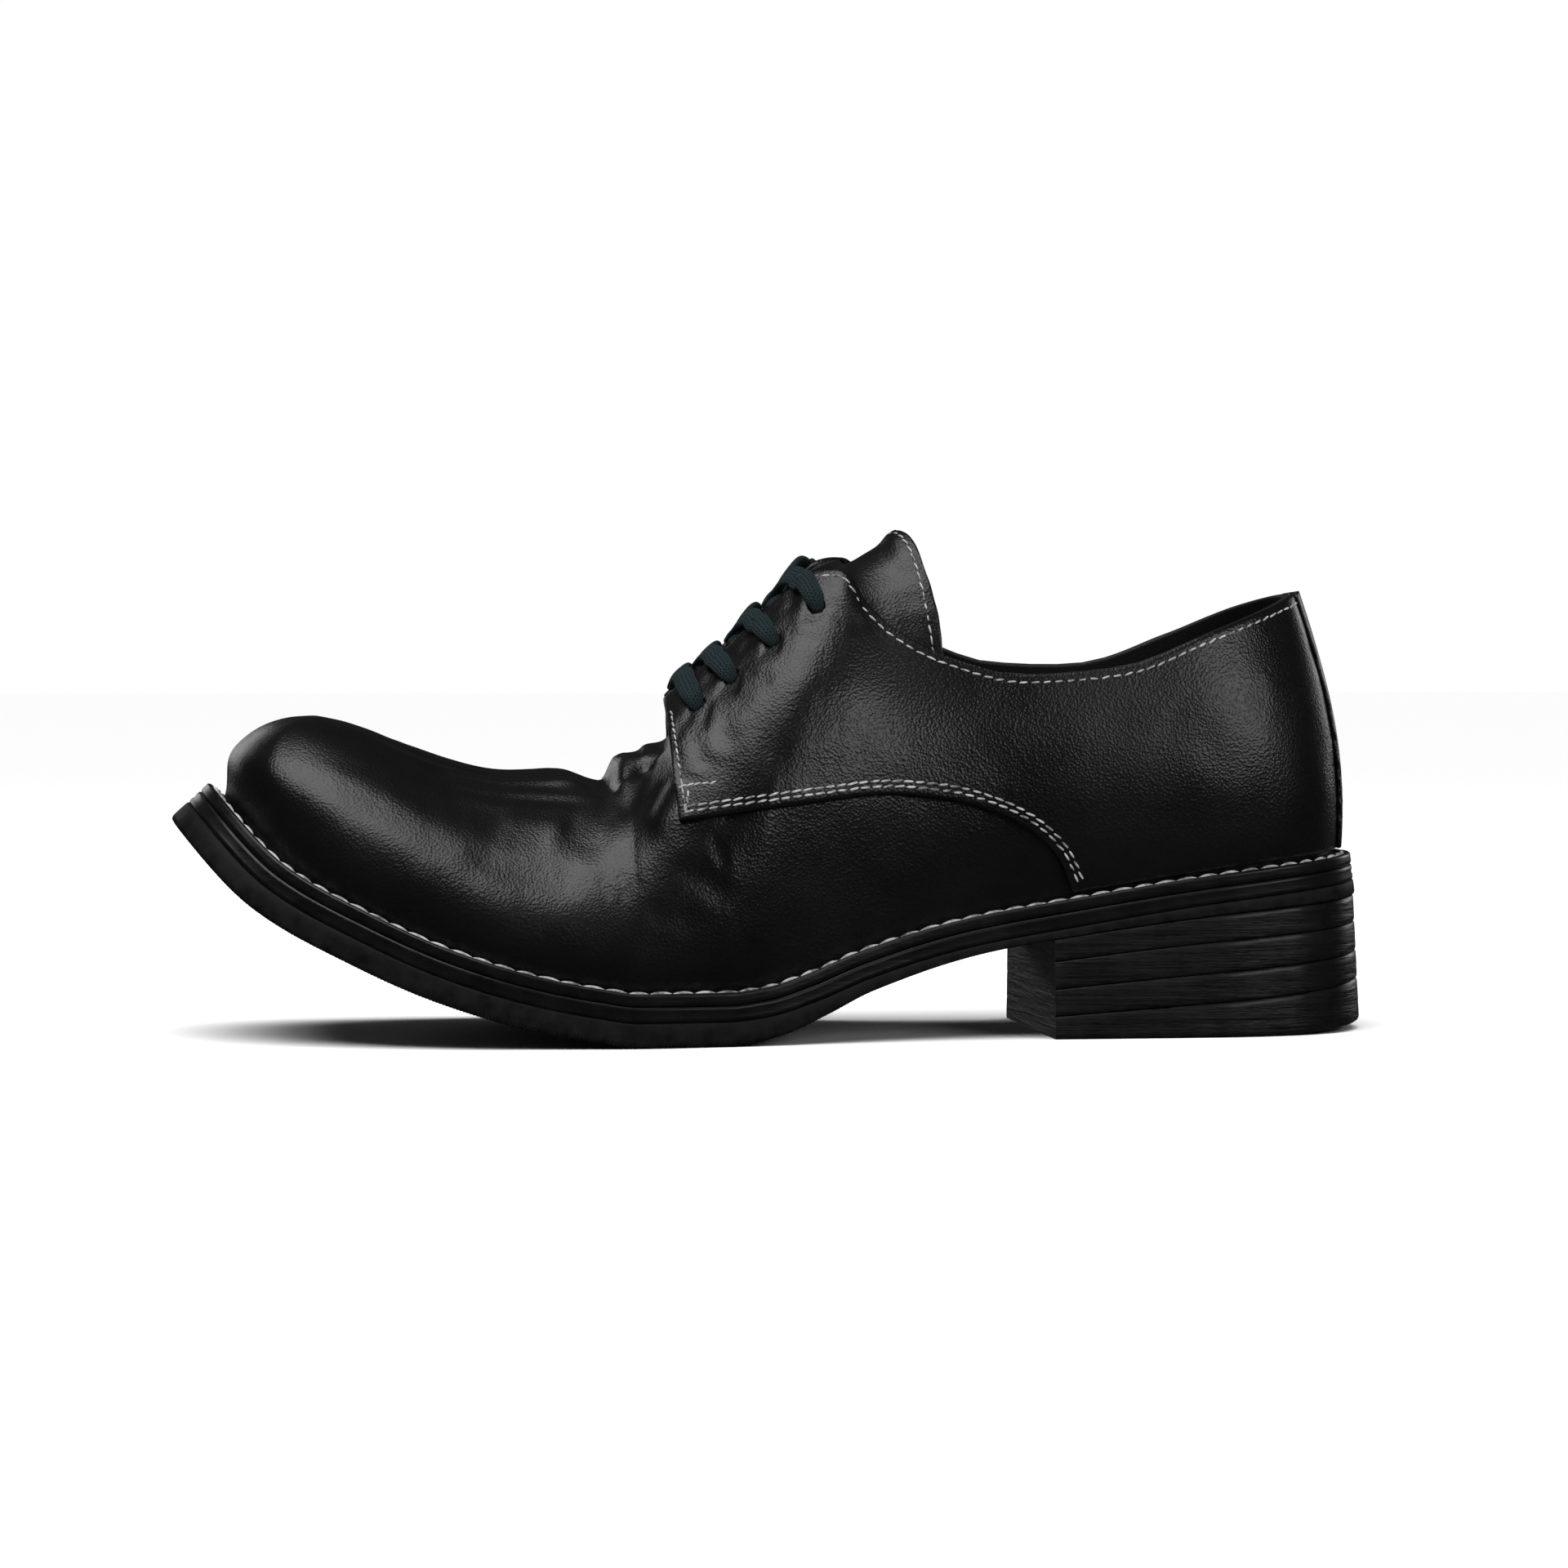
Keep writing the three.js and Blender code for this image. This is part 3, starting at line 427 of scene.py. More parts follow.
def press(points, normals, path, depth, ahead, behind, shoulder, fade=0.25):
    """How far a soft trough (positive depth) or ridge along a path moves each point along its normal."""
    path = np.asarray(path)
    reach = 3.2 * max(ahead, behind)
    low = path.min(0) - reach
    high = path.max(0) + reach
    near = np.where(np.all((points > low) & (points < high), axis=1))[0]
    move = np.zeros(len(points))
    if len(near) == 0:
        return move
    part = points[near]
    gap = part[:, None, :] - path[None]
    distance = np.linalg.norm(gap, axis=-1)
    closest = distance.argmin(1)
    run = unit(np.gradient(path, axis=0))
    hand = np.einsum("ij,ij->i", np.cross(run[closest], normals[near]), gap[np.arange(len(near)), closest])
    width = np.where(hand > 0, ahead, behind)
    d = distance[np.arange(len(near)), closest] / width
    along = closest / (len(path) - 1)
    strength = ease(0, fade, along) * (1 - ease(1 - fade, 1, along))
    shape = -np.exp(-d * d) + shoulder * np.exp(-((d - 1.7) / 0.75) ** 2)
    move[near] = depth * shape * strength
    return move


def wave_noise(points, size, seed, octaves=3):
    """Smooth seeded noise between about -1 and 1, made of sines in slanted directions."""
    rng = np.random.default_rng(seed)
    total = np.zeros(len(points))
    for octave in range(octaves):
        for _ in range(6):
            direction = unit(rng.normal(size=3))
            turn_rate = 2 * math.pi / (size / 1.8 ** octave * rng.uniform(0.75, 1.4))
            phase = rng.uniform(0, 2 * math.pi)
            total += np.sin(points @ direction * turn_rate + phase) / (6 ** 0.5 * 1.8 ** octave)
    return total / 1.4


def surface_path(side, marks, surface=leather_point, offset=0.0, samples=48):
    marks = spline(marks, samples)
    return shifted(surface, marks[:, 0], side + 0 * marks[:, 0], marks[:, 1], offset + 0 * marks[:, 0])


# The creases: side (0 is both), path of (turn, climb), depth (a ridge is negative), width ahead, behind, shoulder
vamp_creases = [
    # the deep notch ahead of the roll, down the side and fading above the wrinkles
    (0, [(0.407, 1.8), (0.405, 1.5), (0.402, 1.05), (0.398, 0.86), (0.392, 0.74), (0.389, 0.64), (0.393, 0.54)],
     0.75, 5.5, 3.6, 0.2),
    # the roll behind it and the dent between roll and facing
    (-1, [(0.43, 2.6), (0.431, 2.2), (0.431, 1.8), (0.429, 1.4), (0.425, 1.1)], -1.95, 3.4, 3.6, 0.0),
    (0, [(0.421, 1.8), (0.418, 1.5), (0.413, 1.1), (0.409, 0.86)], -0.75, 3.0, 3.6, 0.0),
    (0, [(0.436, 1.1), (0.428, 1.05), (0.42, 0.95), (0.413, 0.84), (0.408, 0.74)], 0.525, 2.4, 3.0, 0.2),
    (-1, [(0.438, 0.78), (0.428, 0.74), (0.418, 0.7)], 0.375, 2.2, 2.6, 0.2),
    # long soft grooves that run from the notch toward the toe, side by side
    (0, [(0.27, 1.9), (0.31, 1.84), (0.345, 1.86), (0.375, 1.83), (0.398, 1.72)], 0.4125, 2.0, 2.2, 0.6),
    (0, [(0.25, 1.68), (0.3, 1.6), (0.345, 1.63), (0.378, 1.57), (0.399, 1.42)], 0.45, 2.4, 2.6, 0.6),
    (0, [(0.27, 1.42), (0.32, 1.36), (0.36, 1.35), (0.385, 1.22), (0.398, 1.08)], 0.45, 2.4, 2.6, 0.5),
    (-1, [(0.3, 1.14), (0.33, 1.12), (0.36, 1.1), (0.383, 1.0), (0.394, 0.9)], 0.3375, 2.6, 3.0, 0.4),
    (0, [(0.2, 1.5), (0.25, 1.3), (0.3, 1.15), (0.335, 1.05)], 0.375, 4.2, 4.6, 0.3),
    (-1, [(0.22, 1.2), (0.27, 1.02), (0.31, 0.92), (0.345, 0.86)], 0.3375, 3.6, 4.2, 0.3),
    # the full side bulge and the hollows round it
    (0, [(0.335, 0.86), (0.36, 0.84), (0.38, 0.78)], -0.825, 7.0, 6.0, 0.0),
    (-1, [(0.3, 0.56), (0.33, 0.5), (0.36, 0.48), (0.385, 0.52)], 0.6, 6.0, 5.0, 0.0),
    (0, [(0.15, 0.9), (0.195, 0.76), (0.242, 0.62), (0.286, 0.53), (0.33, 0.5)], 0.2625, 4.0, 4.0, 0.0),
    (-1, [(0.199, 1.06), (0.252, 0.93), (0.296, 0.83), (0.33, 0.79)], 0.225, 3.2, 3.2, 0.2),
    # short upright wrinkles low on the outer side
    (-1, [(0.387, 0.5), (0.39, 0.43), (0.392, 0.37)], 0.15, 1.3, 1.8, 0.5),
    (-1, [(0.397, 0.5), (0.4, 0.42), (0.4, 0.35)], 0.15, 1.2, 1.5, 0.5),
    (-1, [(0.408, 0.44), (0.411, 0.36)], 0.1125, 1.3, 1.5, 0.4),
    # faint ones under the quarter's seam
    (-1, [(0.43, 0.36), (0.444, 0.32), (0.456, 0.26), (0.47, 0.19)], 0.375, 2.6, 3.0, 0.3),
    (-1, [(0.452, 0.42), (0.458, 0.36), (0.462, 0.3)], 0.2625, 1.3, 1.5, 0.4),
    (-1, [(0.42, 0.6), (0.435, 0.55), (0.45, 0.48), (0.462, 0.42)], -0.525, 5.0, 5.0, 0.0),
    (-1, [(0.415, 0.3), (0.43, 0.22), (0.45, 0.17)], 0.225, 2.4, 2.4, 0.2),
    # the inner side, which folds the same way with its own wrinkles
    (1, [(0.392, 0.55), (0.396, 0.45), (0.398, 0.36)], 0.45, 1.3, 1.5, 0.4),
    (1, [(0.41, 0.5), (0.413, 0.4), (0.412, 0.33)], 0.3, 1.1, 1.2, 0.4),
    (1, [(0.33, 1.2), (0.355, 1.12), (0.375, 1.02), (0.39, 0.9)], 0.45, 1.8, 2.2, 0.4),
    (1, [(0.3, 0.6), (0.34, 0.52), (0.38, 0.52)], 0.525, 6.0, 5.0, 0.0),
    (1, [(0.43, 0.4), (0.45, 0.32), (0.47, 0.22)], 0.3, 2.4, 2.6, 0.2),
]


def spread(spans):
    values = [spans[0][0]]
    for low, high, count in spans:
        values.extend(low + (high - low) * (i + 1) / count for i in range(count))
    return np.array(values)


# The vamp and the ground under the quarters
rib_turns = spread([(0, 0.2, 56), (0.2, 0.34, 52), (0.34, 0.47, 84), (0.47, 0.66, 50), (0.66, 1, 60)])
closed_turns = rib_turns[rib_turns <= throat + 1e-9]


def upper_leather():
    around = np.concatenate([rib_turns, rib_turns[-2:0:-1]])
    sides = np.concatenate([-np.ones(len(rib_turns)), np.ones(len(rib_turns) - 2)])
    climbs = np.linspace(0, 1, 44)
    side_part = leather_point(around[None, :], sides[None, :], climbs[:, None])
    points = [side_part.reshape(-1, 3)]
    faces = [grid_faces(len(climbs), len(around), 0, True)]
    across = np.linspace(1, 3, 61)
    top = leather_point(closed_turns[None, :], -1.0, across[:, None])
    faces.append(grid_faces(len(across), len(closed_turns), side_part.shape[0] * side_part.shape[1]))
    points.append(top.reshape(-1, 3))
    piece = make_piece("vamp_leather", np.vstack(points), np.vstack(faces), ["upper"], merge=0.01)
    flip_if_inside(piece, (-60, -90, 40))
    points, normals = vertex_arrays(piece)
    move = np.zeros(len(points))
    for side, marks, depth, ahead, behind, shoulder in vamp_creases:
        for hand in (side,) if side else (-1, 1):
            path = surface_path(hand, marks)
            move += press(points, normals, path, depth, ahead, behind, shoulder)
    move += 0.12 * wave_noise(points, 26, 3)
    set_points(piece, points + normals * move[:, None])
    return piece


def lining():
    around = np.concatenate([rib_turns[::3], rib_turns[-2:0:-3]])
    half = len(rib_turns[::3])
    sides = np.concatenate([-np.ones(half), np.ones(len(around) - half)])
    climbs = np.concatenate([np.linspace(0.03, 0.96, 20), [1.0, 1.012]])
    inner = shifted(leather_point, around[None, :], sides[None, :], climbs[:, None], np.full((22, 1), -1.6))
    outer_rows = np.array([1.012, 1.0, 0.9])
    outer = shifted(last_point, around[None, :], sides[None, :], outer_rows[:, None], np.full((3, 1), 0.0))
    points = np.vstack([inner.reshape(-1, 3), outer.reshape(-1, 3)])
    faces = grid_faces(25, len(around), 0, True)
    open_part = around > throat
    keep = [face for face in faces
            if open_part[face[0] % len(around)] or face[0] // len(around) < 20]
    across = np.linspace(1, 3, 31)
    shut = rib_turns[rib_turns <= throat + 1e-9][::3]
    top = shifted(leather_point, shut[None, :], -1.0, across[:, None], np.full((31, 1), -1.6))
    start = len(points)
    points = np.vstack([points, top.reshape(-1, 3)])
    keep.extend(grid_faces(31, len(shut), start))
    piece = make_piece("lining_leather", points, keep, merge=0.01)
    return piece


def seam_climbs(turns, side):
    low = np.full(len(turns), 0.02)
    high = np.ones(len(turns))
    sides = side + 0 * turns
    past = feather_point(turns, sides)[:, 0] > quarter_seam[-1][0] * last_length
    start = last_point(turns, sides, low)
    past |= start[:, 2] > seam_height(start[:, 0])
    for _ in range(30):
        middle = (low + high) / 2
        point = last_point(turns, sides, middle)
        above = point[:, 2] > seam_height(point[:, 0])
        high = np.where(above, middle, high)
        low = np.where(above, low, middle)
    return np.where(past, 0.02, high)


quarter_inner = 0.1
quarter_outer = overlay_gap + facing_thickness
quarter_turns = spread([(facing_front, 0.54, 70), (0.54, 0.6, 36), (0.6, 0.665, 64), (0.665, quarter_end, 90)])


def eyelet_climb(index, side):
    turn, setback = np.array([eyelets[index][0]]), eyelets[index][1]
    reach = np.linalg.norm(feather_point(turn, np.array([side])) - edge_line_point(turn, np.array([side])), axis=-1)
    return float(1 - setback / (reach[0] * 1.12))


def sheet_piece(name, outer, inner, rim, slot_name, nodes):
    """A leather sheet from two grids, its cut edges rounded over rim millimetres."""
    rows, columns = outer.shape[:2]
    count = rows * columns
    points = np.vstack([outer.reshape(-1, 3), inner.reshape(-1, 3)])
    faces = [grid_faces(rows, columns), grid_faces(rows, columns, count)[:, ::-1]]
    edge = np.concatenate([np.arange(columns), np.arange(1, rows) * columns + columns - 1,
                           (rows - 1) * columns + np.arange(columns - 2, -1, -1),
                           np.arange(rows - 2, 0, -1) * columns])
    top = points[edge]
    base = points[edge + count]
    away = unit(np.cross(np.roll(top, -1, 0) - np.roll(top, 1, 0), top - base))
    centre = outer[rows // 2, columns // 2]
    if np.sum(away * (top - centre)) < 0:
        away = -away
    start = len(points)
    ring = []
    for share, push in ((0.12, 0.7), (0.5, 1.0), (0.88, 0.7)):
        ring.append(top + (base - top) * share + away * rim * push)
    points = np.vstack([points] + ring)
    n = len(edge)
    loops = [edge] + [start + i * n + np.arange(n) for i in range(3)] + [edge + count]
    for a, b in zip(loops, loops[1:]):
        faces.append(np.stack([a, b, np.roll(b, -1), np.roll(a, -1)], -1))
    return make_piece(name, points, np.vstack(faces), nodes, merge=0.004)


# the same columns
quarter_creases = [
    # the pull of the lace: dimples at the eyelets and wrinkles between them and the throat
    (0, [(0.447, 0.83), (0.454, 0.8), (0.461, 0.77)], 0.44, 3.9, 3.9, 0.2),
    (0, [(0.464, 0.86), (0.47, 0.83), (0.477, 0.8)], 0.44, 3.64, 3.64, 0.2),
    (0, [(0.487, 0.88), (0.493, 0.855), (0.5, 0.83)], 0.44, 3.64, 3.64, 0.2),
    (0, [(0.513, 0.9), (0.52, 0.88), (0.528, 0.86)], 0.44, 3.64, 3.64, 0.2),
    (-1, [(0.462, 0.99), (0.463, 0.94), (0.46, 0.88)], 0.2475, 1.69, 1.95, 0.5),
    (-1, [(0.48, 0.99), (0.482, 0.95), (0.48, 0.9)], 0.2475, 1.69, 1.95, 0.5),
    (-1, [(0.505, 0.99), (0.508, 0.96), (0.503, 0.91)], 0.2475, 1.82, 2.08, 0.5),
    (-1, [(0.475, 0.83), (0.483, 0.78), (0.492, 0.73)], 0.165, 1.82, 2.08, 0.4),
    (-1, [(0.498, 0.86), (0.51, 0.81), (0.522, 0.77)], 0.165, 1.95, 2.21, 0.4),
    (-1, [(0.526, 0.89), (0.543, 0.87), (0.56, 0.89)], 0.1925, 2.08, 2.34, 0.4),
    # the front of the facing, where it is drawn down by the lowest lace
    (0, [(0.442, 0.84), (0.4425, 0.74), (0.444, 0.64), (0.447, 0.56)], 0.4125, 1.95, 2.21, 0.4),
    (-1, [(0.448, 0.86), (0.447, 0.77), (0.449, 0.69)], 0.33, 1.69, 1.95, 0.5),
    (-1, [(0.455, 0.8), (0.452, 0.72), (0.4515, 0.65), (0.454, 0.59)], 0.385, 2.08, 2.6, 0.5),
    (-1, [(0.46, 0.72), (0.466, 0.66), (0.474, 0.61)], 0.1925, 2.6, 2.86, 0.3),
    # broad soft waves
    (-1, [(0.478, 0.58), (0.495, 0.56), (0.52, 0.575), (0.549, 0.62)], 0.275, 5.2, 5.85, 0.2),
    (-1, [(0.49, 0.47), (0.53, 0.48), (0.566, 0.57)], 0.22, 5.2, 5.85, 0.2),
    (-1, [(0.46, 0.56), (0.48, 0.66), (0.5, 0.68), (0.53, 0.7)], -0.275, 6.5, 6.5, 0.0),
    (1, [(0.47, 0.6), (0.5, 0.56), (0.54, 0.6)], 0.2475, 5.2, 5.85, 0.2),
    # the heel counter's dents
    (-1, [(0.757, 0.76), (0.765, 0.68), (0.777, 0.6), (0.795, 0.55)], 0.22, 5.85, 7.15, 0.2),
    (-1, [(0.81, 0.8), (0.83, 0.74), (0.85, 0.72)], 0.1375, 4.55, 4.55, 0.2),
    (1, [(0.77, 0.74), (0.79, 0.64), (0.82, 0.56)], 0.165, 5.85, 6.5, 0.2),
]


def quarter(side, name, node):
    low = seam_climbs(quarter_turns, side)
    share = np.linspace(0, 1, 64)
    climbs = low[:, None] + (1 - low[:, None]) * share[None, :]
    turns = quarter_turns[:, None] + 0 * climbs
    outer = shifted(last_point, turns, side, climbs, np.full(climbs.shape, quarter_outer))
    inner = shifted(last_point, turns, side, climbs, np.full(climbs.shape, quarter_inner))
    piece = sheet_piece(name, outer, inner, 0.35, "black_leather", [node])
    flip_if_inside(piece, (40, side * 120, 60))
    points, normals = vertex_arrays(piece)
    move = np.zeros(len(points))
    for hand, marks, depth, ahead, behind, shoulder in quarter_creases:
        if hand in (side, 0):
            path = surface_path(side, marks, last_point, quarter_outer)
            move += press(points, normals, path, depth, ahead, behind, shoulder)
    move += 0.1 * wave_noise(points, 30, 5)
    set_points(piece, points + normals * move[:, None])
    return piece


backstay_half_width = 13.0
heel_run = 217.0


def backstay():
    """A strip over the seam at the back, with ragged side edges."""
    steps = np.linspace(-1, 1, 31)[:, None]
    climbs = np.linspace(0.02, 1.0, 70)
    turns = 1 - np.abs(steps) * (backstay_half_width * (1 - 0.3 * climbs) / heel_run)[None, :]
    sides = np.where(steps < 0, -1.0, 1.0) + 0 * turns
    climb = climbs[None, :] + 0 * turns
    crown = quarter_outer + 1.1 - 0.25 * np.abs(steps) ** 3 + 0 * turns
    outer = shifted(last_point, turns, sides, climb, crown)
    inner = shifted(last_point, turns, sides, climb, quarter_outer + 0 * turns)
    piece = sheet_piece("backstay_leather", outer, inner, 0.25, "black_leather", ["backstay"])
    points, normals = vertex_arrays(piece)
    across = points[:, 1] - middle_y
    ragged = 0.3 * wave_noise(points, 2.2, 11, 4)
    points[:, 1] += np.where(np.abs(across) > 9.0, np.sign(across) * ragged, 0)
    set_points(piece, points)
    return piece


# its root lies under the vamp, so no slot stays open in front of the lowest lace
tongue_turns = spread([(0.446, 0.48, 14), (0.48, 0.54, 40), (0.54, 0.63, 70)])


tongue_climbs = (5 / 7, 4 - 5 / 7)
tongue_face, tongue_back = -2.2, -4.2


def tongue():
    turns, levels = np.meshgrid(tongue_turns, np.linspace(*tongue_climbs, 110), indexing="ij")
    faces = [shifted(last_point, turns, -1.0, levels, np.full(levels.shape, depth))
             for depth in (tongue_face, tongue_back)]
    piece = sheet_piece("tongue_leather", *faces, 0.3, "black_leather", ["tongue"])
    points, normals = vertex_arrays(piece)
    move = 0.22 * wave_noise(points, 17, 21)
    set_points(piece, points + normals * move[:, None])
    return piece


# The sole: rings of one profile carried round the outline
def ring_turns(count):
    one = np.linspace(0, 1, count + 1)
    turns = np.concatenate([one, one[-2:0:-1]])
    sides = np.concatenate([-np.ones(count + 1), np.ones(count - 1)])
    return turns, sides


def sole_ring(turns, sides, inset, height):
    place = inset_point(turns, sides, inset + 0 * turns)
    return on_sheet(place[:, 0], place[:, 1], height)


def cap_faces(start, count, shift=0):
    """Strips across a closed loop, from its first point on."""
    faces = []
    for i in range(count // 2):
        corners = [start + k % count for k in (i, i + 1, count - i - 1 - shift, count - i - shift)]
        corners = list(dict.fromkeys(corners))
        if len(corners) > 2:
            faces.append(corners)
    return faces


def ring_piece(name, loops, nodes, caps=False):
    """Loops skinned in order; with caps both ends are closed, else the last loop joins the first."""
    count = len(loops[0])
    last = (len(loops) - 1) * count
    faces = grid_faces(len(loops), count, 0, True).tolist()
    if caps:
        faces += cap_faces(0, count) + cap_faces(last, count)
    else:
        i = np.arange(count)
        k = (i + 1) % count
        faces += np.stack([last + i, last + k, k, i], -1).tolist()
    return make_piece(name, np.vstack(loops), faces, nodes, merge=0.0005)


def profile_piece(name, steps, profile, node, caps=False):
    """One profile of (inset, height) carried round the outline."""
    turns, sides = ring_turns(steps)
    loops = [sole_ring(turns, sides, inset, height) for inset, height in profile]
    return ring_piece(name, loops, [node], caps)


def welt():
    t, b = welt_top, welt_base
    profile = [(0.5, b), (0.1, b + 0.45), (0.0, b + 1.2), (0.12, b + 1.7), (0.0, t - 0.75), (0.15, t - 0.35),
               (0.5, t - 0.06), (1.0, t), (1.5, t - 0.12), (1.75, t - 0.55), (2.3, t - 0.7), (2.85, t - 0.55),
               (3.1, t - 0.1), (3.8, t), (5.2, t + 0.25), (7.0, t + 0.3), (7.0, b)]
    return profile_piece("welt_leather", 420, profile, "welt")


def midsole():
    b, t = midsole_base - 0.25, midsole_top + 0.25
    profile = [(0.5, b), (0.12, b + 0.3), (0.05, b + 1.0), (0.3, (b + t) / 2), (0.05, t - 1.0),
               (0.15, t - 0.3), (0.6, t)]
    return profile_piece("midsole_leather", 300, profile, "midsole", caps=True)


rib_pitch = 0.8


def outsole():
    """Fine upright ribs run round its edge and end in the waist."""
    turns, sides = ring_turns(1500)
    place = outline_point(turns, sides)
    deep = sole_thickness(place[:, 0])
    ribbed = 1 - ease(18, 26, place[:, 0])
    teeth = (0.5 + 0.5 * np.cos(run_along(place) * 2 * math.pi / rib_pitch)) * ribbed
    loops = []
    # inset, share of the thickness, how far a tooth reaches in, and up
    for inset, share, tooth, lift in (
            (6.0, 1.0, 0.0, 0.0), (1.1, 1.0, 0.0, 0.3), (0.45, 0.97, 0.45, 0), (0.12, 0.88, 0.3, 0),
            (0.0, 0.78, 0.0, 0), (0.0, 0.4, 0.0, 0), (0.05, 0.1, 0.0, 0), (0.35, 0.0, 0.0, 0)):
        ring = inset_point(turns, sides, inset + tooth * teeth)
        loops.append(on_sheet(ring[:, 0], ring[:, 1], lift * teeth - deep * share))
    return ring_piece("outsole_rubber", loops, ["outsole"], caps=True)


def insole():
    edge = welt_reveal + 1.8 + 0.6 + seat_gap
    base = midsole_top + seat_gap
    top = base + 5.2
    profile = [(edge, base), (edge, top - 1.4), (edge + 0.4, top - 0.5), (edge + 1.4, top)]
    return profile_piece("insole_leather", 160, profile, "insole", caps=True)


rear_x = middle_x + half_outline


def heel_top_height(x):
    return on_sheet(x, 0 * x, -sole_thickness(x))[..., 2] - 0.02


def heel_floor(x):
    share = np.maximum(0, (x - heel_bevel_start) / (rear_x - heel_bevel_start))
    return heel_bevel_rise * share * share


def heel_height(x, breast, back):
    at = (x - heel_breast) / (rear_x - heel_breast)
    share = breast + (back - breast) * at
    top = heel_top_height(x)
    return top + (heel_floor(x) - top) * share


def heel_layer(index):
    name, breast, back = heel_layers[index]
    above = (0, 0) if index == 0 else heel_layers[index - 1][1:]
    last = index == len(heel_layers) - 1
    start = float(turn_at(heel_breast))
    one = start + (1 - start) * np.linspace(0, 1, 170)
    turns = np.concatenate([one, one[-2::-1]])
    sides = np.concatenate([-np.ones(170), np.ones(169)])
    foot = 0.9 if last else 0.55
    loops = []
    for share, tuck in ((1.0, foot), (0.97, foot * 0.4), (0.92, 0.06), (0.75, 0.0), (0.62, 0.05), (0.5, 0.0),
                        (0.25, 0.02), (0.08, 0.06), (0.03, 0.25), (0.0, 0.5)):
        flare = -heel_flare * (above[1] + (back - above[1]) * share)
        place = inset_point(turns, sides, flare + tuck + 0 * turns)
        x = place[:, 0].copy()
        x[[0, -1]] = heel_breast
        top = heel_height(x, *above)
        low = heel_height(x, breast, back)
        loops.append(np.stack([x, place[:, 1], top + (low - top) * share], -1))
    count = len(turns)
    faces = grid_faces(len(loops), count, 0, True).tolist()
    faces += cap_faces(0, count, 1) + cap_faces((len(loops) - 1) * count, count, 1)
    piece = make_piece(name + "_edge", np.vstack(loops), faces, [name], merge=0.0005)
    piece.data.set_sharp_from_angle(angle=math.radians(50))
    return piece


# Stitches
def tube_faces(rings, around):
    """A skinned tube of rings with both ends closed."""
    faces = grid_faces(rings, around, 0, True).tolist()
    return faces + [list(range(around)), [(rings - 1) * around + k for k in range(around)]]


def stitch_shape(length, radius, around=8, along=9):
    points = []
    for t in np.linspace(-1, 1, along):
        r = radius * max(0.18, (1 - abs(t) ** 3)) ** 0.5
        arch = -0.88 * radius * t * t
        for k in range(around):
            angle = 2 * math.pi * k / around
            points.append((t * length / 2, r * math.cos(angle), arch + r * math.sin(angle)))
    return np.array(points), tube_faces(along, around)


class Stitching:
    def __init__(self):
        self.points = []
        self.faces = []
        self.count = 0
        self.rng = np.random.default_rng(7)

    def add(self, path, normals, pitch, length, radius, sink, slant, jitter):
        shape, faces = stitch_shape(length, radius)
        run = run_along(path)
        total = run[-1]
        number = max(1, int(round(total / pitch)))
        for s in (np.arange(number) + 0.5) * total / number:
            centre = rows_at(s, run, path)
            before = rows_at(max(0, s - length / 2), run, path)
            after = rows_at(min(total, s + length / 2), run, path)
            up = unit(rows_at(s, run, normals))
            forward = unit(after - before)
            up = unit(up - forward * np.dot(up, forward))
            wide = np.cross(up, forward)
            angle = slant + self.rng.normal() * jitter
            forward, wide = (forward * math.cos(angle) + wide * math.sin(angle),
                             wide * math.cos(angle) - forward * math.sin(angle))
            scale = 1 + self.rng.normal() * 0.05
            placed = (centre - up * sink + shape[:, :1] * scale * forward + shape[:, 1:2] * wide
                      + shape[:, 2:] * up)
            self.points.append(placed)
            self.faces.extend([[v + self.count for v in face] for face in faces])
            self.count += len(placed)


def edge_path(side, turns, climbs, inward_sign, distance):
    """A path at a distance inside an edge of the quarter, with the surface's normals there."""
    sides = side + 0 * turns
    base = shifted(last_point, turns, sides, climbs, quarter_outer + 0 * turns)
    normals = normal_of(last_point, turns, sides, climbs)
    inward = unit(np.cross(normals, unit(np.gradient(base, axis=0)))) * inward_sign
    return base + inward * distance, normals


def resample(path, normals, keep_from=0.0, keep_to=0.0):
    run = run_along(path)
    s = np.arange(keep_from, run[-1] - keep_to, 0.5)
    return rows_at(s, run, path), rows_at(s, run, normals)


stitches = Stitching()
# pitch, length, radius, sink (negative stands proud), slant, jitter
seam_row = (2.9, 2.5, 0.26, -0.05, 0.12, 0.08)
bartack_row = (1.9, 2.0, 0.25, -0.05, 0.25, 0.1)
front_row = (2.3, 2.0, 0.24, -0.03, 0.15, 0.08)
collar_row = (2.9, 2.4, 0.24, -0.06, 0.12, 0.08)
tongue_row = (2.9, 2.4, 0.24, -0.15, 0.12, 0.08)
welt_row = (5.4, 6.4, 0.58, -0.15, 0.12, 0.04)


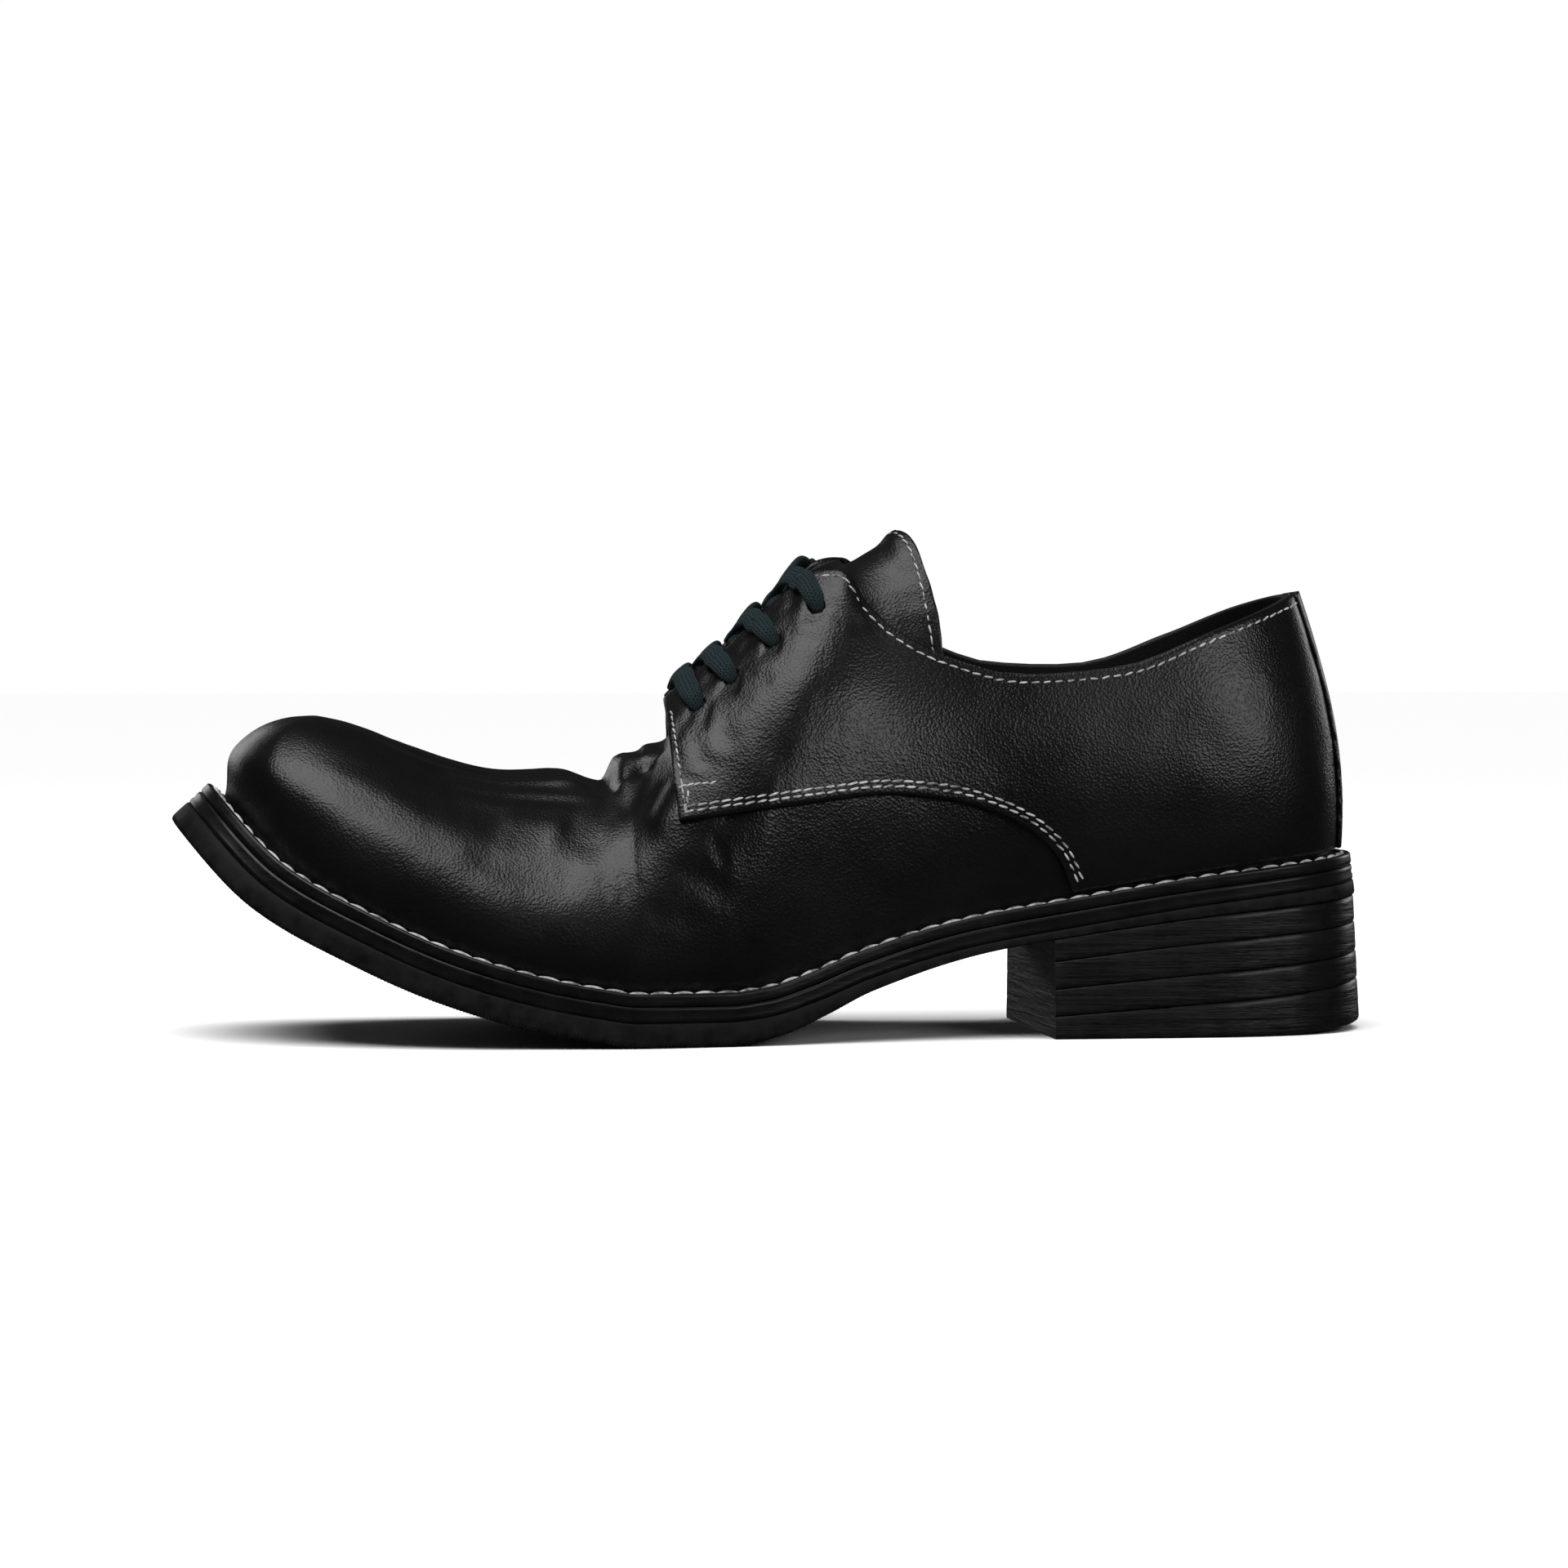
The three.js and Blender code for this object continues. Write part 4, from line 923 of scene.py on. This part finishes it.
def quarter_stitches(side):
    turns = spread([(facing_front, 0.6, 150), (0.6, 0.662, 150)])
    climbs = seam_climbs(turns, side)
    keep = climbs > 0.03
    turns, climbs = turns[keep], climbs[keep]
    for distance, skip in ((1.7, 1.0), (3.0, 1.4)):
        stitches.add(*resample(*edge_path(side, turns, climbs, -side, distance), skip, 0.5), *seam_row)
    for marks in ([(0.4415, 0.59), (0.459, 0.545)], [(0.446, 0.562), (0.4435, 0.505)]):
        path = surface_path(side, marks, last_point, quarter_outer)
        middle = spline(marks, 48)
        normals = normal_of(last_point, middle[:, 0], side + 0 * middle[:, 0], middle[:, 1])
        stitches.add(path, normals, *bartack_row)
    front = np.linspace(seam_climbs(np.array([facing_front]), side)[0], 0.985, 120)
    stitches.add(*resample(*edge_path(side, facing_front + 0 * front, front, side, 1.6), 1.6, 6.0), *front_row)
    top = np.linspace(0.512, 0.985, 500)
    stitches.add(*resample(*edge_path(side, top, 1 + 0 * top, side, 1.8)), *collar_row)


def tongue_stitches():
    climbs = np.linspace(tongue_climbs[0] + 0.1, tongue_climbs[1] - 0.1, 200)
    turns = np.full(200, 0.622)
    path = shifted(last_point, turns, -1.0, climbs, np.full(200, tongue_face))
    normals = normal_of(last_point, turns, -1.0 + 0 * turns, climbs)
    stitches.add(*resample(path, normals, 0.5, 0.5), *tongue_row)


def welt_stitches():
    turns, sides = ring_turns(600)
    path = sole_ring(turns, sides, 2.3, welt_top - 0.25)
    normals = unit(sole_ring(turns, sides, 2.3, welt_top + 1.0) - path)
    stitches.add(np.vstack([path, path[:1]]), np.vstack([normals, normals[:1]]), *welt_row)


# Laces
def lace_frames(marks):
    """marks: rows of (turn, side, climb, offset, half width, half thickness)."""
    marks = np.asarray(marks, float)
    level = np.where(marks[:, 1] > 0, 4 - marks[:, 2], marks[:, 2])
    rows = spline(np.column_stack([marks[:, 0], level, marks[:, 3], marks[:, 4], marks[:, 5]]), 90)
    side = np.where(rows[:, 1] > 2, 1.0, -1.0)
    climb = np.where(rows[:, 1] > 2, 4 - rows[:, 1], rows[:, 1])
    path = shifted(last_point, rows[:, 0], side, climb, rows[:, 2])
    up = normal_of(last_point, rows[:, 0], side, np.minimum(climb, 1.99))
    return path, up, rows[:, 3], rows[:, 4]


def lace_band(path, up, half_width, half_thickness):
    """A flat oval band with its length and width as texture coordinates."""
    around = 20
    run = unit(np.gradient(path, axis=0))
    wide = unit(np.cross(run, up))
    thick = np.cross(wide, run)
    angles = [2 * math.pi * k / around for k in range(around)]
    rings = []
    for angle in angles:
        c, s = math.cos(angle), math.sin(angle)
        c = math.copysign(abs(c) ** 0.8, c)
        s = math.copysign(abs(s) ** 0.7, s)
        rings.append(path + wide * (half_width * c)[:, None] + thick * (half_thickness * s)[:, None])
    across = np.cos(angles)
    uv = np.stack(np.broadcast_arrays(run_along(path)[:, None] * 0.1, (across * 0.28)[None, :]), -1)
    return np.stack(rings, 1).reshape(-1, 3), tube_faces(len(path), around), uv.reshape(-1, 2)


def lace_piece(name, bands, node):
    points, faces, uvs, count = [], [], [], 0
    for band in bands:
        p, f, u = lace_band(*lace_frames(band))
        points.append(p)
        faces.extend([[v + count for v in face] for face in f])
        uvs.append(u)
        count += len(p)
    return make_piece(name, np.vstack(points), faces, [node], uv=np.vstack(uvs))


half_lace = lace_width / 2
half_thick = lace_thickness / 2


def lace_marks(side, index, lag=0.0):
    turn, _, low, high = eyelets[index]
    start = eyelet_climb(index, side)
    sit = quarter_outer + half_thick
    return [
        (turn + low * 0.1, side, start - 0.01, -1.4, 1.6, 1.0),
        (turn, side, start + 0.004, 0.6, 1.9, 1.1),
        (turn - low * 0.25, side, start + 0.03, sit + 0.4, 2.5, 1.0),
        (turn - low * 0.65, side, start + 0.085, sit + 0.25, half_lace, half_thick),
        (turn - low, side, 1.01, sit + 0.1, half_lace, half_thick),
        (turn - low - (high - low) * 0.45, side, 1.42, sit - 1.1 + lag * 0.6, half_lace, half_thick),
        (turn - high, side, 1.95, lag, half_lace, half_thick),
    ]


def laces():
    pieces = [lace_piece("lace_bar", [lace_marks(-1, 0) + lace_marks(1, 0)[::-1]], "lace_bar_1")]
    for index in range(1, 4):
        low = eyelets[index - 1][0] + 0.006
        bands = []
        for side, lag in ((-1, 0.5), (1, -0.5)):
            bands.append(lace_marks(side, index, lag) + [
                (low, -side, 1.55, 0.1 + lag * 0.5, half_lace, half_thick),
                (low, -side, 1.16, -1.1, half_lace, half_thick),
                (low, -side, 1.0, -1.6, half_lace, half_thick * 0.8),
            ])
        node = "lace_crossing_%d" % (index + 1)
        pieces.append(lace_piece(node + "_woven", bands, node))
    return pieces


punch_radius = 2.1


def eyelet_holes(piece, side):
    points, faces, count = [], [], 0
    for index, (turn, *_) in enumerate(eyelets):
        climb = np.array([eyelet_climb(index, side)])
        t = np.array([turn])
        s = np.array([float(side)])
        centre = shifted(last_point, t, s, climb, np.array([0.9]))[0]
        up = normal_of(last_point, t, s, climb)[0]
        wide = unit(np.cross(up, [0, 1, 0.2]))
        across = np.cross(up, wide)
        for level in (-3, 3):
            for k in range(20):
                a = 2 * math.pi * k / 20
                points.append(centre + up * level + (wide * math.cos(a) + across * math.sin(a)) * punch_radius)
        ring = [[count + k, count + (k + 1) % 20, count + 20 + (k + 1) % 20, count + 20 + k] for k in range(20)]
        faces += ring + [[count + k for k in range(20)][::-1], [count + 20 + k for k in range(20)]]
        count += 40
    mesh = bpy.data.meshes.new("punch")
    mesh.from_pydata((np.array(points) * 0.001).tolist(), [], faces)
    punch = bpy.data.objects.new("punch", mesh)
    bpy.context.scene.collection.objects.link(punch)
    cut = piece.modifiers.new("punch", "BOOLEAN")
    cut.object = punch
    cut.operation = "DIFFERENCE"
    cut.solver = "EXACT"
    bpy.context.view_layer.update()
    graph = bpy.context.evaluated_depsgraph_get()
    cut_mesh = bpy.data.meshes.new_from_object(piece.evaluated_get(graph))
    piece.modifiers.clear()
    piece.data = cut_mesh
    bpy.data.objects.remove(punch)


vamp = upper_leather()
lining_piece = lining()
near_quarter = quarter(-1, "quarter_lateral_leather", "quarter_lateral")
far_quarter = quarter(1, "quarter_medial_leather", "quarter_medial")
eyelet_holes(near_quarter, -1)
eyelet_holes(far_quarter, 1)
backstay_piece = backstay()
tongue_piece = tongue()
welt_piece = welt()
midsole_piece = midsole()
outsole_piece = outsole()
insole_piece = insole()
heel_pieces = [heel_layer(i) for i in range(4)]
quarter_stitches(-1)
quarter_stitches(1)
tongue_stitches()
welt_stitches()
stitch_piece = make_piece("stitching", np.vstack(stitches.points), stitches.faces)
lace_pieces = laces()


# Materials
def new_material(name):
    material = bpy.data.materials.new(name)
    material.use_nodes = True
    tree = material.node_tree
    return material, tree, tree.nodes["Principled BSDF"]


def settle(node, **values):
    """Sets sockets by name, with _ for a space."""
    for key, value in values.items():
        node.inputs[key.replace("_", " ")].default_value = value


def add_node(tree, kind, sources=None, mode=None, **values):
    """mode is a property's name and value; sources are the outputs that feed its sockets."""
    node = tree.nodes.new("ShaderNode" + kind)
    if mode:
        setattr(node, *mode)
    settle(node, **values)
    for socket, source in (sources or {}).items():
        tree.links.new(source, node.inputs[socket])
    return node


def ramp(tree, source, low, high, a=0, b=1):
    node = add_node(tree, "MapRange", {"Value": source}, From_Min=low, From_Max=high, To_Min=a, To_Max=b)
    return node.outputs["Result"]


def noise(tree, coords, scale, detail=3.0, rough=0.55):
    node = add_node(tree, "TexNoise", {"Vector": coords}, Scale=scale, Detail=detail, Roughness=rough)
    return node.outputs["Fac"]


def calc(tree, operation, a, b=None):
    node = add_node(tree, "Math", mode=("operation", operation))
    for socket, value in zip(node.inputs, (a, b)):
        if isinstance(value, (int, float)):
            socket.default_value = value
        elif value is not None:
            tree.links.new(value, socket)
    return node.outputs[0]


def relief(tree, shader, *layers):
    """Bumps over one another: each layer is (height, distance, strength)."""
    below = {}
    for height, distance, strength in layers:
        node = add_node(tree, "Bump", {"Height": height, **below}, Distance=distance, Strength=strength)
        below = {"Normal": node.outputs["Normal"]}
    tree.links.new(node.outputs["Normal"], shader.inputs["Normal"])


def tint(tree, shader, share, dark, light):
    mix = add_node(tree, "Mix", {"Factor": share}, ("data_type", "RGBA"), A=(*dark, 1), B=(*light, 1))
    tree.links.new(mix.outputs["Result"], shader.inputs["Base Color"])


def grey(tone, blue=1.0):
    return tone, tone, tone * blue


def leather_material(name, tone, rough, grain):
    material, tree, shader = new_material(name)
    coords = add_node(tree, "TexCoord").outputs["Object"]
    pebble = add_node(tree, "TexVoronoi", {"Vector": coords}, ("feature", "SMOOTH_F1"), Scale=1650, Smoothness=0.6)
    cloudy = noise(tree, coords, 22, 4.0)
    relief(tree, shader, (noise(tree, coords, 90), 0.0006, 0.08), (pebble.outputs["Distance"], 0.0002, grain),
           (noise(tree, coords, 2600, 2.0), 0.00006, grain * 0.5))
    tint(tree, shader, ramp(tree, cloudy, 0.3, 0.7), grey(tone * 0.75, 1.0667), grey(tone * 1.5, 1.0667))
    tree.links.new(ramp(tree, cloudy, 0.3, 0.7, rough - 0.05, rough + 0.07), shader.inputs["Roughness"])
    return material


def edge_material(name, tone, line_scale, line_strength, line_depth):
    """Polished edge with lines along it."""
    material, tree, shader = new_material(name)
    coords = add_node(tree, "TexCoord").outputs["Object"]
    stretch = add_node(tree, "Mapping", {"Vector": coords}, Scale=(0.04, 0.04, 1.0))
    lines = noise(tree, stretch.outputs["Vector"], line_scale, 4.0, 0.7)
    dirt = noise(tree, coords, 160, 4.0)
    relief(tree, shader, (lines, line_depth, line_strength), (dirt, 0.0003, 0.12))
    tint(tree, shader, ramp(tree, dirt, 0.35, 0.75), grey(tone * 0.7, 1.03), grey(tone * 1.9, 1.03))
    tree.links.new(ramp(tree, lines, 0.3, 0.7, 0.24, 0.46), shader.inputs["Roughness"])
    settle(shader, Specular_IOR_Level=0.25, Coat_Weight=0.2, Coat_Roughness=0.18)
    return material


def rubber_material():
    """Dusty rubber, with ribs across the faces that look down."""
    material, tree, shader = new_material("rubber_ribbed")
    coords = add_node(tree, "TexCoord").outputs["Object"]
    dust = noise(tree, coords, 300, 5.0, 0.6)
    ribs = add_node(tree, "TexWave", {"Vector": coords}, ("bands_direction", "X"), Scale=380)
    geometry = add_node(tree, "NewGeometry")
    split = add_node(tree, "SeparateXYZ", {"Vector": geometry.outputs["True Normal"]})
    under = ramp(tree, split.outputs["Z"], -0.6, -0.4, 1, 0)
    relief(tree, shader, (calc(tree, "MULTIPLY", under, ribs.outputs["Fac"]), 0.0007, 0.8), (dust, 0.0002, 0.3))
    tint(tree, shader, ramp(tree, dust, 0.35, 0.7), grey(0.003), grey(0.008))
    tree.links.new(ramp(tree, dust, 0.3, 0.7, 0.5, 0.7), shader.inputs["Roughness"])
    settle(shader, Specular_IOR_Level=0.15)
    return material


def thread_material():
    material, tree, shader = new_material("thread_waxed")
    coords = add_node(tree, "TexCoord").outputs["Object"]
    tint(tree, shader, ramp(tree, noise(tree, coords, 350), 0.42, 0.66), (0.42, 0.42, 0.41), grey(0.06))
    relief(tree, shader, (noise(tree, coords, 2500), 0.0002, 0.5))
    settle(shader, Roughness=0.6)
    return material


def lace_material():
    """A flat braid: chevrons along the band and rows across it."""
    material, tree, shader = new_material("lace_woven")
    coords = add_node(tree, "TexCoord")
    split = add_node(tree, "SeparateXYZ", {"Vector": coords.outputs["UV"]})
    along, across = split.outputs["X"], split.outputs["Y"]
    cell = calc(tree, "FRACT", calc(tree, "MULTIPLY", across, 6.0))
    slope = calc(tree, "MULTIPLY", calc(tree, "ABSOLUTE", calc(tree, "SUBTRACT", cell, 0.5)), 0.16)
    chevron = calc(tree, "SINE", calc(tree, "MULTIPLY", calc(tree, "ADD", along, slope), 78.0))
    rows = calc(tree, "SINE", calc(tree, "MULTIPLY", across, 75.0))
    height = calc(tree, "ADD", calc(tree, "MULTIPLY", chevron, 0.5), calc(tree, "MULTIPLY", rows, 0.35))
    relief(tree, shader, (height, 0.00035, 0.9), (noise(tree, coords.outputs["Object"], 3000), 0.0002, 0.5))
    # the colour follows the weave's height: painted shade in its grooves and painted light on its raised crests
    tint(tree, shader, ramp(tree, height, -0.8, 0.8), (0.004, 0.008, 0.009), (0.021, 0.037, 0.041))
    settle(shader, Roughness=0.85, Specular_IOR_Level=0.2)
    return material


def dress(material, *pieces):
    for piece in pieces:
        piece.data.materials.clear()
        piece.data.materials.append(material)


dress(leather_material("black_calf", 0.002, 0.3, 0.45), vamp, near_quarter, far_quarter, backstay_piece, tongue_piece)
dress(leather_material("lining_black", 0.006, 0.6, 0.3), lining_piece, insole_piece)
dress(edge_material("waxed_edge", 0.0025, 500, 0.3, 0.0004), welt_piece, midsole_piece)
dress(edge_material("stacked_polish", 0.003, 700, 0.8, 0.0007), *heel_pieces)
dress(rubber_material(), outsole_piece)
dress(thread_material(), stitch_piece)
dress(lace_material(), *lace_pieces)

# Studio: a pale floor and surroundings that are white for the camera and dim for the leather's gloss
scene = bpy.context.scene
reach = 30.0
floor_mesh = bpy.data.meshes.new("floor")
corners = [(-reach, -reach, 0), (reach, -reach, 0), (reach, reach, 0), (-reach, reach, 0)]
floor_mesh.from_pydata(corners, [], [(0, 1, 2, 3)])
floor = bpy.data.objects.new("floor", floor_mesh)
scene.collection.objects.link(floor)
floor.visible_glossy = False
paper, tree, shader = new_material("pale_floor")
settle(shader, Base_Color=(0.93, 0.93, 0.93, 1), Roughness=0.9, Specular_IOR_Level=0.0)
dress(paper, floor)

world = bpy.data.worlds.new("studio")
scene.world = world
world.use_nodes = True
tree = world.node_tree
dim = tree.nodes["Background"]
settle(dim, Color=(1, 1, 1, 1), Strength=0.03)
pale = add_node(tree, "Background", Color=(1, 1, 1, 1), Strength=1.0)
to_camera = add_node(tree, "LightPath").outputs["Is Camera Ray"]
seen = add_node(tree, "MixShader", {"Fac": to_camera, 1: dim.outputs[0], 2: pale.outputs[0]})
tree.links.new(seen.outputs[0], tree.nodes["World Output"].inputs["Surface"])


def place_lamp(name, light, place, target):
    lamp = bpy.data.objects.new(name, light)
    lamp.location = place
    lamp.rotation_euler = (Vector(target) - Vector(place)).to_track_quat("-Z", "Y").to_euler()
    scene.collection.objects.link(lamp)
    return lamp


def soft_box(name, place, target, size_x, size_y, power):
    light = bpy.data.lights.new(name, "AREA")
    light.shape = "RECTANGLE"
    light.size = size_x
    light.size_y = size_y
    light.energy = power
    return place_lamp(name, light, place, target)


ceiling = bpy.data.lights.new("ceiling", "SUN")
ceiling.energy = 3.2
ceiling.angle = math.radians(75)
place_lamp("ceiling", ceiling, (0, 0, 2), (0, 0.15, 0)).visible_glossy = False
soft_box("overhead", (-0.32, -0.3, 1.15), (-0.02, 0, 0.06), 1.05, 0.8, 9.0)
soft_box("right", (0.8, -0.88, 0.55), (0.1, 0, 0.07), 0.8, 0.34, 3.0)
soft_box("rear_left", (-0.6, 1.5, 0.4), (-0.05, 0, 0.06), 0.5, 0.5, 1.2)
soft_box("rear_right", (1.2, 1.1, 0.4), (0.05, 0, 0.06), 0.5, 0.5, 1.6)

# The camera stands where the photo was taken from
camera_data = bpy.data.cameras.new("camera")
camera_data.lens = 100
camera_data.sensor_width = 36
camera = bpy.data.objects.new("camera", camera_data)
scene.collection.objects.link(camera)
heading = math.radians(7)
dip = math.radians(1.36)
forward = Vector((math.sin(heading) * math.cos(dip), math.cos(heading) * math.cos(dip), -math.sin(dip)))
right = Vector((math.cos(heading), -math.sin(heading), 0))
up = right.cross(forward)
turned = Matrix((right, up, -forward)).transposed().to_4x4()
camera.matrix_world = Matrix.Translation(Vector((-0.12934, -1.07072, 0.08678))) @ turned
scene.camera = camera
scene.view_settings.view_transform = "Standard"
